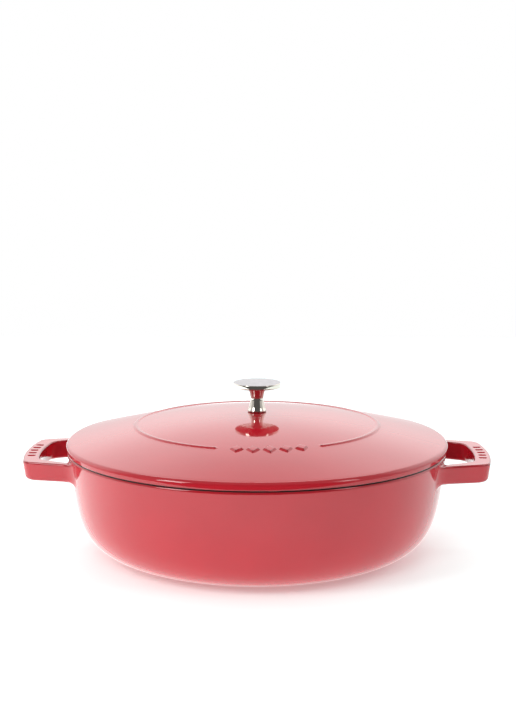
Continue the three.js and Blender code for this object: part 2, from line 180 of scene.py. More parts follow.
class LidSizes(bpy.types.PropertyGroup):
    """Sizes of the lid casting"""

    radius: length("Radius", "Edge of the lid", 147)
    seat: length("Seat height", "Height of the lid's seat, just over the rim", 82.3)
    edge_height: length("Edge height", "Seat to the shoulder where the dome starts", 6)
    shoulder_inset: length("Shoulder inset", "Lid edge to that shoulder", 2.5)
    rise: length("Dome rise", "Shoulder to the top of the dome", 20.9)
    flatness: share("Dome flatness", "0 gives a plain parabola", 0.16)
    thickness: length("Thickness", "Thickness of the casting", 3.8)
    edge_bottom_round: length("Lower edge round", "Rounding of the lower edge", 1)
    rib_outer: length("Locating rib radius", "Outside of the rib that centres the lid", 140.2)
    rib_width: length("Locating rib width", "Width of that rib", 4)
    rib_depth: length("Locating rib depth", "How far it hangs below the seat", 5)
    boss_radius: length("Boss radius", "Flat boss that the washers bear on", 12)
    boss_height: length("Boss height", "Boss below the dome's inner surface", 3)
    hole_radius: length("Screw hole radius", "Hole for the knob's screw", 3.5)
    bead_ring: length("Bead ring radius", "Centre line of the raised ring", 93.4)
    bead_radius: length("Bead radius", "Rounding of the raised ring's top", 2.2)
    bead_height: length("Bead height", "Raised ring over the dome", 0.85)
    bead_foot: length("Bead foot", "Fillet between the raised ring and the dome", 2.2)
    gap_middle: angle("Gap middle", "Middle of the ring's open part, from the front", 6.9)
    gap_half: angle("Gap half width", "Half of the ring's open part", 24.4)
    lozenge_count: count("Lozenge count", "Raised lozenges in the ring's open part", 5)
    lozenge_step: angle("Lozenge step", "Angle between two lozenges", 7.2)
    lozenge_width: length("Lozenge width", "Width along the ring", 10.2)
    lozenge_length: length("Lozenge length", "Length across the ring, for the middle one", 13.5)
    lozenge_height: length("Lozenge height", "Height over the dome", 1.2)
    lozenge_shortening: share("Lozenge shortening", "How much shorter each further one is", 0.1)
    nub_radius: length("Nub radius", "Foot of a basting nub", 2.7)
    nub_height: length("Nub height", "How far a nub hangs below the dome", 2.6)


class KnobSizes(bpy.types.PropertyGroup):
    """Sizes of the knob"""

    seat: length("Seat height", "Foot of the knob, just over the dome", 109.5)
    height: length("Height", "Foot to the middle of the top", 23.2)
    radius: length("Disc radius", "Widest part of the disc", 18.36)
    edge_inset: length("Edge inset", "Widest part of the disc to its lower edge", 0.05)
    disc_depth: length("Disc depth", "Middle of the top to the disc's underside", 4.1)
    crown: length("Crown", "Rise of the top face to its middle", 0.5)
    base_radius: length("Stem base radius", "Foot of the stem", 7.2)
    waist_radius: length("Stem waist radius", "Narrowest part of the stem", 4.95)
    waist_height: length("Stem waist height", "Foot to the narrowest part", 10.4)
    neck_radius: length("Stem neck radius", "Stem under the disc", 6.8)
    bore_radius: length("Bore radius", "Bore for the screw", 3.1)
    bore_depth: length("Bore depth", "Depth of that bore", 13)


class FasteningSizes(bpy.types.PropertyGroup):
    """Sizes of the screw and washers under the lid"""

    flat_washer_base: length("Flat washer height", "Underside of the flat washer", 100.5)
    flat_washer_radius: length("Flat washer radius", "Outside of the flat washer", 6.6)
    flat_washer_thickness: length("Flat washer thickness", "Thickness of the flat washer", 1.6)
    spring_washer_base: length("Spring washer height", "Underside of the spring washer", 98.7)
    spring_washer_radius: length("Spring washer radius", "Outside of the spring washer", 5.8)
    spring_washer_thickness: length("Spring washer thickness", "Thickness of the spring washer", 1.5)
    spring_washer_split: length("Spring washer split", "Width of its split", 1.2)
    washer_bore: length("Washer bore", "Radius of the hole in both washers", 3.3)
    head_base: length("Head height", "Underside of the screw's head", 94.9)
    head_depth: length("Head depth", "Depth of the head", 3.5)
    head_radius: length("Head radius", "Outside of the head", 6)
    thread_radius: length("Thread radius", "Crest of the thread", 2.95)
    thread_pitch: length("Thread pitch", "Distance between two crests", 1)
    thread_depth: length("Thread depth", "Crest to root", 0.55)
    shank_top: length("Shank top", "Height of the screw's end", 120)


class Finishes(bpy.types.PropertyGroup):
    """Colours of the finishes"""

    enamel: colour("Enamel", "Glossy outer enamel", "#ad1926")
    # also painted shade on the faces inside the handles' finger openings
    thin_enamel_and_shade: colour("Thin enamel", "The same enamel where it is thin, along edges", "#7c0c16")
    black_enamel: colour("Black enamel", "Matt inner enamel", "#1b1a1a")
    grain_specks: colour("Grain specks", "Lighter specks in the inner enamel", "#c9c4bf")
    bare_iron: colour("Bare iron", "Iron worn bare on the foot ring", "#5d5754")
    nickel: colour("Nickel", "Polished plating of the knob", "#d2cbc1")
    # darker than the polished nickel: painted shade on the knob's top face, besides its brushed finish
    satin_and_shade: colour("Satin nickel", "Brushed plating on the knob's top face", "#a8a5a7")
    steel: colour("Steel", "Zinc plating of screw and washers", "#a9a6a0")
    sweep: colour("Sweep", "Pale floor, slightly cool", "#e6f6f5")
    sweep_fibres: colour("Sweep fibres", "Darkest fibres in the paper of the floor", "#bcbcbc")


class StageSettings(bpy.types.PropertyGroup):
    """Camera and light"""

    lens: bpy.props.FloatProperty(
        name="Lens", description="Focal length of the camera", default=71.45, unit="CAMERA"
    )
    azimuth: angle("Azimuth", "Camera round the pan, from the front", 1.4)
    elevation: angle("Elevation", "Camera over the horizon", 12.1)
    distance: length("Distance", "Camera to the point that it looks at", 1100)
    target_height: length("Target height", "Height of that point", 86)
    shift_x: bpy.props.FloatProperty(
        name="Shift X", description="Sideways shift of the frame", default=0.0014
    )
    shift_y: bpy.props.FloatProperty(
        name="Shift Y", description="Upward shift of the frame", default=0.1174
    )
    walls: brightness("Walls", "Brightness of the white back wall", 2.0)
    horizon: brightness("Horizon", "Brightness of the same wall down at the sweep", 1.1)
    ceiling: brightness("Ceiling", "Brightness overhead", 0.5)
    sides: brightness("Sides", "Brightness either side of the camera", 0.7)
    studio: brightness("Studio", "Brightness of the dark studio behind the camera", 0.12)
    sweep_front: length("Sweep front", "Front edge of the sweep, from the pan's axis", 345)
    sweep_reach: length("Sweep reach", "Back and side edges of the sweep, from the pan's axis", 1200)
    glow_right: brightness("Glow right", "Light that comes through the sweep, right of the pan", 0.5)
    glow_left: brightness("Glow left", "The same left of the pan", 1.15)
    glow_seen: brightness("Glow seen", "The same as the camera sees it, so that shadows stay", 0.27)
    left_power: power("Left power", "Power of the soft box left of the camera", 7)
    right_power: power("Right power", "Power of the soft box right of the camera", 2.4)
    top_power: power("Top power", "Power of the strip light above and behind the pan", 3)
    fill_power: power("Fill power", "Power of the soft fill over the camera", 8.4)


class CoveredPanSettings(bpy.types.PropertyGroup):
    """All settings of the covered pan"""

    pan: bpy.props.PointerProperty(type=PanSizes, name="Pan", description="Sizes of the pan")
    handle: bpy.props.PointerProperty(
        type=HandleSizes, name="Handles", description="Sizes of the handles"
    )
    lid: bpy.props.PointerProperty(type=LidSizes, name="Lid", description="Sizes of the lid")
    knob: bpy.props.PointerProperty(type=KnobSizes, name="Knob", description="Sizes of the knob")
    fastening: bpy.props.PointerProperty(
        type=FasteningSizes, name="Fastening", description="Sizes of screw and washers"
    )
    finish: bpy.props.PointerProperty(
        type=Finishes, name="Finishes", description="Colours of the finishes"
    )
    stage: bpy.props.PointerProperty(type=StageSettings, name="Stage", description="Camera and light")


# ---------------------------------------------------------------- node trees and materials


def add(tree, kind, inputs=None, **settings):
    """A new node with its settings. Inputs, by name or number, take values or other nodes' outputs.

    Inputs 1 to 4 of Map Range are the range taken and the range given. Of a colour Mix, input 0 is the
    factor and 6 and 7 are the colours. Of a number Mix, 0 is the factor and 2 and 3 are the numbers.
    """
    node = tree.nodes.new(kind)
    for key, value in settings.items():
        setattr(node, key, value)
    for key, value in (inputs or {}).items():
        if isinstance(value, bpy.types.NodeSocket):
            tree.links.new(value, node.inputs[key])
        else:
            node.inputs[key].default_value = value
    return node


def new_material(name):
    """An empty material: its tree, its shader node and a point on the piece as a texture coordinate."""
    material = bpy.data.materials.new(name)
    material.use_nodes = True
    tree = material.node_tree
    tree.nodes.clear()
    shader = add(tree, "ShaderNodeBsdfPrincipled")
    add(tree, "ShaderNodeOutputMaterial", {"Surface": shader.outputs["BSDF"]})
    point = add(tree, "ShaderNodeTexCoord").outputs["Object"]
    return material, tree, shader, point


def finish_surface(tree, shader, tint, roughness, bump):
    """Links a material's colour, roughness and bump to its shader."""
    tree.links.new(tint.outputs[2], shader.inputs["Base Color"])
    tree.links.new(roughness, shader.inputs["Roughness"])
    tree.links.new(bump.outputs["Normal"], shader.inputs["Normal"])


def cached(name, build):
    """The material of that name, built once."""
    return bpy.data.materials.get(name) or build(name)


def clouds(tree, point, size, given, taken=(0.3, 0.7), **noise):
    """A number that drifts over the piece between the two given, in patches about size mm across."""
    patches = add(tree, "ShaderNodeTexNoise", {"Vector": point, "Scale": per_mm(size), **noise})
    ranges = {"Value": patches.outputs["Fac"], 1: taken[0], 2: taken[1], 3: given[0], 4: given[1]}
    return add(tree, "ShaderNodeMapRange", ranges).outputs["Result"]


def relief(tree, point, size, depth, below=None, **noise):
    """A bumpy surface with features about size mm across, on top of the surface below."""
    height = add(tree, "ShaderNodeTexNoise", {"Vector": point, "Scale": per_mm(size), **noise})
    inputs = {"Strength": 1.0, "Distance": depth, "Height": height.outputs["Fac"]}
    if below:
        inputs["Normal"] = below.outputs["Normal"]
    return add(tree, "ShaderNodeBump", inputs)


def gloss_enamel(name):
    """Glossy coloured enamel, sprayed on cast iron and fired.

    The eye sees a deep glassy red with sharp reflections, a faint orange peel from the casting beneath,
    slow drifts in thickness and a darker line along every edge, where the glaze runs thin. The same
    darker colour is painted shade on the faces inside the finger openings.
    """
    finish = bpy.context.scene.covered_pan.finish
    material, tree, shader, point = new_material(name)
    # the thin attribute holds both the thin glaze along edges and painted shade in the finger openings
    thin = add(tree, "ShaderNodeAttribute", attribute_name="thin").outputs["Fac"]
    drift = clouds(tree, point, 34, (0.0, 0.1), (0.35, 0.65), Detail=3.0, Roughness=0.5)
    broken = clouds(tree, point, 5, (0.6, 1.0), Detail=2.0)
    edge = add(tree, "ShaderNodeMath", {0: thin, 1: broken}, operation="MULTIPLY").outputs[0]
    thinness_and_shade = add(tree, "ShaderNodeMath", {0: edge, 1: drift}, operation="ADD", use_clamp=True)
    colours = {0: thinness_and_shade.outputs[0], 6: (*finish.enamel, 1), 7: (*finish.thin_enamel_and_shade, 1)}
    tint = add(tree, "ShaderNodeMix", colours, data_type="RGBA")
    roughness = clouds(tree, point, 48, (0.035, 0.075), Detail=5.0, Roughness=0.6)
    peel = relief(tree, point, 9, mm(0.02), Detail=1.0)
    pitting = relief(tree, point, 1.6, mm(0.0016), peel, Detail=1.0)
    finish_surface(tree, shader, tint, roughness, pitting)
    shader.inputs["IOR"].default_value = 1.52
    return material


def grained_enamel(name):
    """Matt black enamel, sprayed coarse and fired once.

    The eye sees a dark, dry surface with a fine sandy grain and specks a shade lighter.
    """
    finish = bpy.context.scene.covered_pan.finish
    material, tree, shader, point = new_material(name)
    grain = {"Detail": 3.0, "Roughness": 0.6}
    specks = clouds(tree, point, 0.7, (0.0, 0.06), (0.56, 0.7), **grain)
    mottle = clouds(tree, point, 14, (0.0, 0.03), Detail=4.0)
    lift = add(tree, "ShaderNodeMath", {0: specks, 1: mottle}, operation="ADD").outputs[0]
    colours = {0: lift, 6: (*finish.black_enamel, 1), 7: (*finish.grain_specks, 1)}
    tint = add(tree, "ShaderNodeMix", colours, data_type="RGBA")
    roughness = clouds(tree, point, 14, (0.42, 0.58), Detail=4.0)
    finish_surface(tree, shader, tint, roughness, relief(tree, point, 0.7, mm(0.05), **grain))
    shader.inputs["IOR"].default_value = 1.5
    return material


def worn_foot(name):
    """Black enamel on the foot ring, worn through to grey iron in patches by sliding on hobs."""
    finish = bpy.context.scene.covered_pan.finish
    material, tree, shader, point = new_material(name)
    worn = clouds(tree, point, 11, (0.0, 1.0), (0.46, 0.6), Detail=6.0, Roughness=0.65)
    colours = {0: worn, 6: (*finish.black_enamel, 1), 7: (*finish.bare_iron, 1)}
    tint = add(tree, "ShaderNodeMix", colours, data_type="RGBA")
    scuffs = {"Detail": 4.0, "Roughness": 0.7}
    roughness = clouds(tree, point, 1.2, (0.35, 0.6), **scuffs)
    finish_surface(tree, shader, tint, roughness, relief(tree, point, 1.2, mm(0.04), **scuffs))
    tree.links.new(worn, shader.inputs["Metallic"])
    return material


DULL_SHARE = 0.7  # tone of the dullest patches of a metal, against its polished tone


def turned_metal(name, tone, ring_width, ring_depth, roughness_range):
    """A metal turned on a lathe: fine rings round the Z axis and a slightly uneven polish."""
    material, tree, shader, point = new_material(name)
    split = add(tree, "ShaderNodeSeparateXYZ", {0: point})
    flat = add(tree, "ShaderNodeCombineXYZ", {"X": split.outputs["X"], "Y": split.outputs["Y"]})
    reach = add(tree, "ShaderNodeVectorMath", {0: flat.outputs[0]}, operation="LENGTH").outputs["Value"]
    station = add(tree, "ShaderNodeCombineXYZ", {"X": reach, "Y": split.outputs["Z"]}).outputs[0]
    polish = {"Detail": 4.0, "Roughness": 0.6}
    roughness = clouds(tree, point, 4, roughness_range, **polish)
    dullness = clouds(tree, point, 4, (0.0, 0.12), **polish)
    colours = {0: dullness, 6: (*tone, 1), 7: (*[c * DULL_SHARE for c in tone], 1)}
    tint = add(tree, "ShaderNodeMix", colours, data_type="RGBA")
    rings = relief(tree, station, ring_width, ring_depth, Detail=2.0)
    finish_surface(tree, shader, tint, roughness, rings)
    shader.inputs["Metallic"].default_value = 1
    return material


def polished_nickel(name):
    """Nickel plating over a turned knob, buffed to a mirror.

    The eye sees a warm mirror with barely visible turning rings and a few softer patches.
    """
    tone = bpy.context.scene.covered_pan.finish.nickel
    return turned_metal(name, tone, 0.5, mm(0.0004), (0.03, 0.07))


def satin_nickel(name):
    """The same plating on the knob's top face, brushed in fine circles, in a darker lilac-grey tone that
    is painted shade on the top face, so it stays softly grey.
    """
    tone = bpy.context.scene.covered_pan.finish.satin_and_shade
    return turned_metal(name, tone, 0.35, mm(0.002), (0.4, 0.5))


def zinc_steel(name):
    """Bright zinc plating on rolled and pressed steel: a grey sheen over plain turning marks."""
    tone = bpy.context.scene.covered_pan.finish.steel
    return turned_metal(name, tone, 0.25, mm(0.004), (0.24, 0.38))


def enamel():
    return cached("gloss_red_enamel", gloss_enamel)


def black_enamel():
    return cached("matt_black_enamel", grained_enamel)


def plated_steel():
    return cached("zinc_plated_steel", zinc_steel)


# ---------------------------------------------------------------- shapes


def arc(centre, radius, from_deg, to_deg, steps):
    """Points round an arc of a section."""
    points = []
    for i in range(steps + 1):
        a = math.radians(from_deg + (to_deg - from_deg) * i / steps)
        points.append(Vector((centre[0] + radius * math.cos(a), centre[1] + radius * math.sin(a))))
    return points


def filleted(corners, steps=5, closed=False):
    """Points through corners (x, y, round), each corner rounded by an arc of that radius."""
    places = [Vector((x, y)) for x, y, _ in corners]
    points = []
    for i, (x, y, round_) in enumerate(corners):
        here = places[i]
        if round_ == 0 or (not closed and i in (0, len(corners) - 1)):
            points.append(here)
            continue
        back = (places[i - 1] - here).normalized()
        ahead = (places[(i + 1) % len(places)] - here).normalized()
        half = math.acos(max(-1, min(1, back.dot(ahead)))) / 2
        centre = here + (back + ahead).normalized() * (round_ / math.sin(half))
        start = here + back * (round_ / math.tan(half)) - centre
        turn = math.pi - 2 * half
        if back.cross(ahead) > 0:
            turn = -turn
        for step in range(steps + 1):
            a = turn * step / steps
            cos_a, sin_a = math.cos(a), math.sin(a)
            points.append(
                centre + Vector((start.x * cos_a - start.y * sin_a, start.x * sin_a + start.y * cos_a))
            )
    return points


def smooth_path(knots, steps):
    """Points on a Catmull-Rom curve through the knots."""
    padded = [knots[0] * 2 - knots[1], *knots, knots[-1] * 2 - knots[-2]]
    points = []
    for i in range(1, len(padded) - 2):
        before, a, b, after = padded[i - 1 : i + 3]
        for step in range(steps):
            t = step / steps
            points.append(
                0.5
                * (
                    2 * a
                    + (b - before) * t
                    + (2 * before - 5 * a + 4 * b - after) * t**2
                    + (3 * a - before - 3 * b + after) * t**3
                )
            )
    return [*points, knots[-1]]


POLE_RADIUS = mm(0.0001)  # a row closer to the axis than this is one point
MERGE_DISTANCE = mm(0.0005)


class Turning:
    """A grid of points turned about the Z axis: one row for each profile point, one column for each
    angle. A row of radius zero is one shared point."""

    def __init__(self, profile, angles, closed=False):
        self.columns = len(angles)
        self.points = []
        self.first = []
        self.poles = set()
        for row, place in enumerate(profile):
            self.first.append(len(self.points))
            if place[0] < POLE_RADIUS:
                self.poles.add(row)
                self.points.append(Vector((0, 0, place[1])))
                continue
            for a in angles:
                self.points.append(Vector((place[0] * math.cos(a), place[0] * math.sin(a), place[1])))
        self.rows = len(profile)
        self.closed = closed

    def at(self, row, column):
        row %= self.rows
        return self.first[row] + (0 if row in self.poles else column % self.columns)

    def faces(self, finish_of=lambda row: 0, skip=lambda row, column: False):
        """Faces between neighbouring rows, with the number of each face's finish."""
        faces, finishes = [], []
        for row in range(self.rows if self.closed else self.rows - 1):
            for column in range(self.columns):
                if skip(row, column):
                    continue
                ring = [
                    self.at(row, column),
                    self.at(row, column + 1),
                    self.at(row + 1, column + 1),
                    self.at(row + 1, column),
                ]
                faces.append(list(dict.fromkeys(ring)))
                finishes.append(finish_of(row))
        return faces, finishes


def even_angles(number):
    return [2 * math.pi * i / number for i in range(number)]


def half_turns(turn):
    """The same turn as an angle between half a turn back and half a turn on."""
    return (turn + math.pi) % (2 * math.pi) - math.pi


def mark_thin(mesh, full=450.0, none=60.0):
    """Stores how thin the glaze runs at each point: 1 where the surface bends outwards by full for each
    metre or more, as on tight edges, and 0 where it bends by none or less."""
    bend = [0.0] * len(mesh.vertices)
    arms = [0] * len(mesh.vertices)
    for edge in mesh.edges:
        for here, there in (edge.vertices, reversed(edge.vertices)):
            span = mesh.vertices[here].co - mesh.vertices[there].co
            if span.length_squared > 0:
                bend[here] += 2 * mesh.vertices[here].normal.dot(span) / span.length_squared
                arms[here] += 1
    values = [max(0.0, min(1.0, (b / max(1, n) - none) / (full - none))) for b, n in zip(bend, arms)]
    attribute = mesh.attributes.new("thin", "FLOAT", "POINT")
    attribute.data.foreach_set("value", values)


def paint_opening_shade(mesh, pan, handle, reach, most=0.9, fade=mm(7)):
    """Stores painted shade on the faces that look into the finger openings, as the thin-glaze colour
    where the lid and the handle shade them. It fades out on the wall below the handles."""
    # the painted shade goes into the thin-glaze attribute, which the red enamel turns into its darker
    # colour
    thin = mesh.attributes["thin"].data
    grip_inside = reach - handle.grip_width
    middle = (pan.rim_radius + grip_inside) / 2
    low = pan.rim_height - handle.drop - handle.depth - fade
    for vertex in mesh.vertices:
        x, y, z = vertex.co
        inward = Vector((math.copysign(middle, x) - x, -y, 0))
        if z < low or inward.length > handle.arm_spread or math.hypot(x, y) > grip_inside + mm(2):
            continue
        facing = vertex.normal.dot(inward.normalized())
        value = most * min(1.0, 2 * facing - 1) * min(1.0, (z - low) / fade)
        thin[vertex.index].value = max(thin[vertex.index].value, value)


def make_piece(name, points, faces, materials, finishes=None):
    """A smooth closed mesh at the origin, its faces turned outwards."""
    mesh = bpy.data.meshes.new(name)
    mesh.from_pydata([tuple(p) for p in points], [], faces)
    if finishes:
        mesh.polygons.foreach_set("material_index", finishes)
    work = bmesh.new()
    work.from_mesh(mesh)
    bmesh.ops.remove_doubles(work, verts=work.verts, dist=MERGE_DISTANCE)
    bmesh.ops.recalc_face_normals(work, faces=work.faces)
    work.to_mesh(mesh)
    work.free()
    mesh.shade_smooth()
    for material in materials:
        mesh.materials.append(material)
    mark_thin(mesh)
    piece = bpy.data.objects.new(name, mesh)
    bpy.context.scene.collection.objects.link(piece)
    return piece


def fit(piece, body, slot, *nodes):
    """Joins a finished piece to its body and hides the frame nodes that it stands for. The slot is not
    used.
    """
    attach(piece, body)
    if nodes:
        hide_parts(*nodes)


# ---------------------------------------------------------------- pan


class Wall:
    """The outside of the pan's side wall, a Bezier curve from the foot to the rim, turned round Z."""

    def __init__(self, pan):
        self.knots = [
            Vector((pan.foot_radius, 0)),
            Vector((pan.rim_radius - pan.corner_inset, 0)),
            Vector((pan.rim_radius - pan.wall_lean * pan.wall_reach, pan.rim_height - pan.wall_reach)),
            Vector((pan.rim_radius, pan.rim_height)),
        ]

    def point(self, t):
        a, b, c, d = self.knots
        return a * (1 - t) ** 3 + b * 3 * t * (1 - t) ** 2 + c * 3 * t**2 * (1 - t) + d * t**3

    def outward(self, t):
        a, b, c, d = self.knots
        along = (b - a) * (1 - t) ** 2 + (c - b) * 2 * t * (1 - t) + (d - c) * t**2
        return Vector((along.y, -along.x)).normalized()

    def at_height(self, z):
        """Share of the curve at a height."""
        low, high = 0.0, 1.0
        for _ in range(40):
            middle = (low + high) / 2
            if self.point(middle).y < z:
                low = middle
            else:
                high = middle
        return low

    def place(self, turn, z):
        radius = self.point(self.at_height(z)).x
        return Vector((radius * math.cos(turn), radius * math.sin(turn), z))

    def normal(self, turn, z):
        side = self.outward(self.at_height(z))
        return Vector((side.x * math.cos(turn), side.x * math.sin(turn), side.y))


SECTION_ARC_STEPS = 8  # faces round each corner of a handle's section
SECTION_SIDE_STEPS = 8  # faces along each side of it
SECTION_SIDE = SECTION_ARC_STEPS + SECTION_SIDE_STEPS
FIRST_STATIONS = (0.46, 0.6, 0.74, 0.88)  # sections on the straight part of an arm
CORNER_STATIONS = 10
GRIP_STATIONS = 12
FILLET_STEPS = 9
FOOT_SEARCH_STEPS = 30  # steps towards the place where an arm's line meets the wall
CONIC_WEIGHT = math.sqrt(0.5)  # makes a fillet's section a circular arc where its sides are square
PATCH_STEPS = 4  # rings between an arm's fillet and the wall's own grid
PATCH_TURN_MARGIN = 0.03
PATCH_LOW_MARGIN = mm(3)
BETWEEN_ARMS_COLUMNS = 20
SIDE_COLUMNS = 96
CORNER_ROWS = 34
INSIDE_ROWS = 40
FLOOR_CORNER_ROUND = mm(1.2)


def plan_contour(start, taper, reach, round_):
    """One side of an arm from above: a straight run, a rounded corner, then the arc of the grip bar.

    Gives a function of a part, 0 to 2, and a share of it, that returns the place. The last part ends
    on the X axis.
    """
    along = Vector((math.cos(taper), math.sin(taper)))
    inward = Vector((-along.y, along.x))
    base = start + inward * round_
    near = base.dot(along)
    centre = base + along * (math.sqrt((reach - round_) ** 2 - base.length_squared + near**2) - near)
    first = centre - inward * round_
    last = centre * (reach / (reach - round_))
    from_deg = math.degrees(math.atan2(*(first - centre).yx))
    to_deg = math.degrees(math.atan2(*(last - centre).yx))
    grip_turn = math.atan2(last.y, last.x)

    def place(part, at):
        if part == 0:
            return start.lerp(first, at)
        if part == 1:
            a = math.radians(from_deg + (to_deg - from_deg) * at)
            return centre + Vector((math.cos(a), math.sin(a))) * round_
        a = grip_turn * (1 - at)
        return Vector((math.cos(a), math.sin(a))) * reach

    return place


def bar_section(outer, inner, top, handle):
    """The closed section of the handle between two places seen from above, and its outward sides."""
    across = (inner - outer).normalized()
    width = (inner - outer).length
    bottom = top - handle.depth
    corners = [
        (0, top, handle.top_round),
        (width, top, handle.top_round),
        (width - handle.depth * math.tan(handle.inner_draft), bottom, handle.inner_bottom_round),
        (handle.depth * math.tan(handle.outer_draft), bottom, handle.outer_bottom_round),
    ]
    rounded = filleted(corners, SECTION_ARC_STEPS, closed=True)
    loop = []
    for i in range(4):
        ring = rounded[i * (SECTION_ARC_STEPS + 1) : (i + 1) * (SECTION_ARC_STEPS + 1)]
        following = rounded[(i + 1) * (SECTION_ARC_STEPS + 1) % len(rounded)]
        loop += ring
        loop += [ring[-1].lerp(following, s / SECTION_SIDE_STEPS) for s in range(1, SECTION_SIDE_STEPS)]
    half = SECTION_ARC_STEPS // 2
    loop = loop[half:] + loop[:half]
    sides = []
    for i, here in enumerate(loop):
        along = loop[(i + 1) % len(loop)] - loop[i - 1]
        sides.append(Vector((-along.y, along.x)).normalized())
    points = [Vector((*(outer + across * p.x), p.y)) for p in loop]
    outward = [Vector((*(across * s.x), s.y)) for s in sides]
    return points, outward


def handle_rings(pan, handle, wall, reach):
    """Rings of points along half of the right handle, from the wall at -Y to the X axis.

    The first rings are the fillet that spreads onto the wall. Each of its lines lands beside the place
    where the arm's own line would meet the wall.
    """
    top = pan.rim_height - handle.drop
    buried = pan.rim_radius - pan.wall / 3

    def on_circle(radius, y):
        return Vector((math.sqrt(radius**2 - y**2), y))

    outer_root = on_circle(buried, -handle.arm_spread)
    slope = Vector((math.cos(handle.arm_taper), math.sin(handle.arm_taper)))
    near = outer_root.dot(slope)
    corner = outer_root + slope * (math.sqrt(reach**2 - outer_root.length_squared + near**2) - near)
    inner_root = on_circle(buried, handle.arm_wall_width - handle.arm_spread)
    grip_inside = reach - handle.grip_width
    inner_tip = on_circle(grip_inside, corner.y + handle.arm_tip_width)
    inner_taper = math.atan2(*(inner_tip - inner_root).yx)
    outer = plan_contour(outer_root, handle.arm_taper, reach, handle.corner_round)
    inner = plan_contour(inner_root, inner_taper, grip_inside, handle.opening_round)
    stations = [(0, s) for s in FIRST_STATIONS]
    stations += [(1, s / CORNER_STATIONS) for s in range(CORNER_STATIONS + 1)]
    stations += [(2, s / GRIP_STATIONS) for s in range(1, GRIP_STATIONS + 1)]
    sections = [bar_section(outer(*s), inner(*s), top, handle) for s in stations]
    first, sides = sections[0]
    second = sections[1][0]
    fillet = []
    for here, ahead, side in zip(first, second, sides):
        back = (here - ahead).normalized()
        gap = 0.0
        for _ in range(FOOT_SEARCH_STEPS):
            probe = here + back * gap
            off = probe.xy.length - wall.point(wall.at_height(probe.z)).x
            gap += off / max(0.3, -back.xy.dot(probe.xy.normalized()))
        foot = here + back * gap
        level = side.xy.length
        across = handle.flare_inside if side.y > 0 else handle.flare_outside
        upright = handle.flare_above if side.z > 0 else handle.flare_below
        radius = across * level**2 + upright * side.z**2
        z = foot.z + radius * side.z
        turn = math.atan2(foot.y, foot.x) + math.copysign(radius * level / foot.xy.length, side.y)
        landing = wall.place(turn, z)
        normal = wall.normal(turn, z)
        bend = here + back * ((landing - here).dot(normal) / back.dot(normal))
        start = bend - back * (landing - bend).length
        line = []
        for i in range(FILLET_STEPS + 1):
            t = i / FILLET_STEPS
            weights = (1 - t) ** 2, 2 * t * (1 - t) * CONIC_WEIGHT, t**2
            line.append((landing * weights[0] + bend * weights[1] + start * weights[2]) / sum(weights))
        fillet.append(line)
    rings = [[line[i] for line in fillet] for i in range(FILLET_STEPS + 1)]
    return rings + [points for points, _ in sections]


def turned_ring(ring, mirror, half_turn):
    """A ring of the right handle's -Y half, taken to another arm."""
    points = [Vector((p.x, -p.y, p.z)) if mirror else p for p in ring]
    return [Vector((-p.x, -p.y, p.z)) if half_turn else p for p in points]


def pan_profile(pan, wall, patch_low):
    """Rows of the pan's section from the middle of the base out, up, over the rim and back inside.

    Returns the rows, the first row of the handle patches, the row where the rim's black enamel starts
    and the number of rows of the base.
    """
    lean = math.atan(pan.wall_lean)
    recess = pan.foot_radius - pan.foot_ring
    rows = [Vector((r, pan.foot_recess)) for r in (0, mm(18), mm(36), mm(54))]
    rows += filleted(
        [
            (mm(60), pan.foot_recess, 0),
            (recess - mm(1), pan.foot_recess, mm(0.8)),
            (recess, 0, mm(0.5)),
            (recess + mm(3), 0, 0),
        ]
    )
    rows += [Vector((recess + mm(5), 0))]
    foot_rows = len(rows)
    rim_low = wall.at_height(pan.rim_height - pan.rim_outer_round * (1 + math.sin(lean)))
    patch_start = wall.at_height(patch_low)
    rows += [wall.point(patch_start * i / CORNER_ROWS) for i in range(CORNER_ROWS)]
    patch_row = len(rows)
    top_z = wall.point(rim_low).y
    for i in range(SECTION_SIDE + 1):
        z = patch_low + (top_z - patch_low) * i / SECTION_SIDE
        rows.append(wall.point(wall.at_height(z)))
    round_ = pan.rim_outer_round
    centre = rows[-1] - wall.outward(rim_low) * round_
    rows += arc(centre, round_, -math.degrees(lean), 90, 8)[1:]
    rim_row = len(rows) - 5
    inner_low = wall.at_height(pan.rim_height - pan.rim_inner_round * (1 + math.sin(lean)))
    inside = wall.point(inner_low) - wall.outward(inner_low) * pan.wall
    centre = inside + wall.outward(inner_low) * pan.rim_inner_round
    rows += arc(centre, pan.rim_inner_round, 90, 180 - math.degrees(lean), 6)
    for i in range(1, INSIDE_ROWS + 1):
        t = inner_low * (1 - i / INSIDE_ROWS)
        place = wall.point(t) - wall.outward(t) * pan.wall
        over = place.y - pan.floor_top
        rise = (math.sqrt(over**2 + FLOOR_CORNER_ROUND**2) + over) / 2
        rows.append(Vector((place.x, pan.floor_top + rise)))
    settle = rows[-1].y
    rows += [Vector((r, settle)) for r in (mm(58), mm(38), mm(18), 0)]
    return rows, patch_row, rim_row, foot_rows


def wall_patch(grid, wall, landing, patch_row, columns, mirror):
    """The ring of grid points round one arm's landing, and the rings between the two."""
    low, high = patch_row, patch_row + SECTION_SIDE
    first, last = columns
    if mirror:
        first, last = last, first
    step = 1 if last > first else -1
    loop = [(high, c) for c in range(first, last, step)]
    loop += [(r, last) for r in range(high, low, -1)]
    loop += [(low, c) for c in range(last, first, -step)]
    loop += [(r, first) for r in range(low, high)]
    border = [grid.at(r, c) for r, c in loop]
    between = []
    for i in range(1, PATCH_STEPS):
        t = i / PATCH_STEPS
        ring = []
        for at, foot in zip(border, landing):
            edge = grid.points[at]
            edge_turn = math.atan2(edge.y, edge.x)
            foot_turn = math.atan2(foot.y, foot.x)
            turn_gap = half_turns(foot_turn - edge_turn)
            ring.append(wall.place(edge_turn + turn_gap * t, edge.z + (foot.z - edge.z) * t))
        between.append(ring)
    return border, between


RED, BLACK, WORN = range(3)  # finishes, in the order of a casting's materials


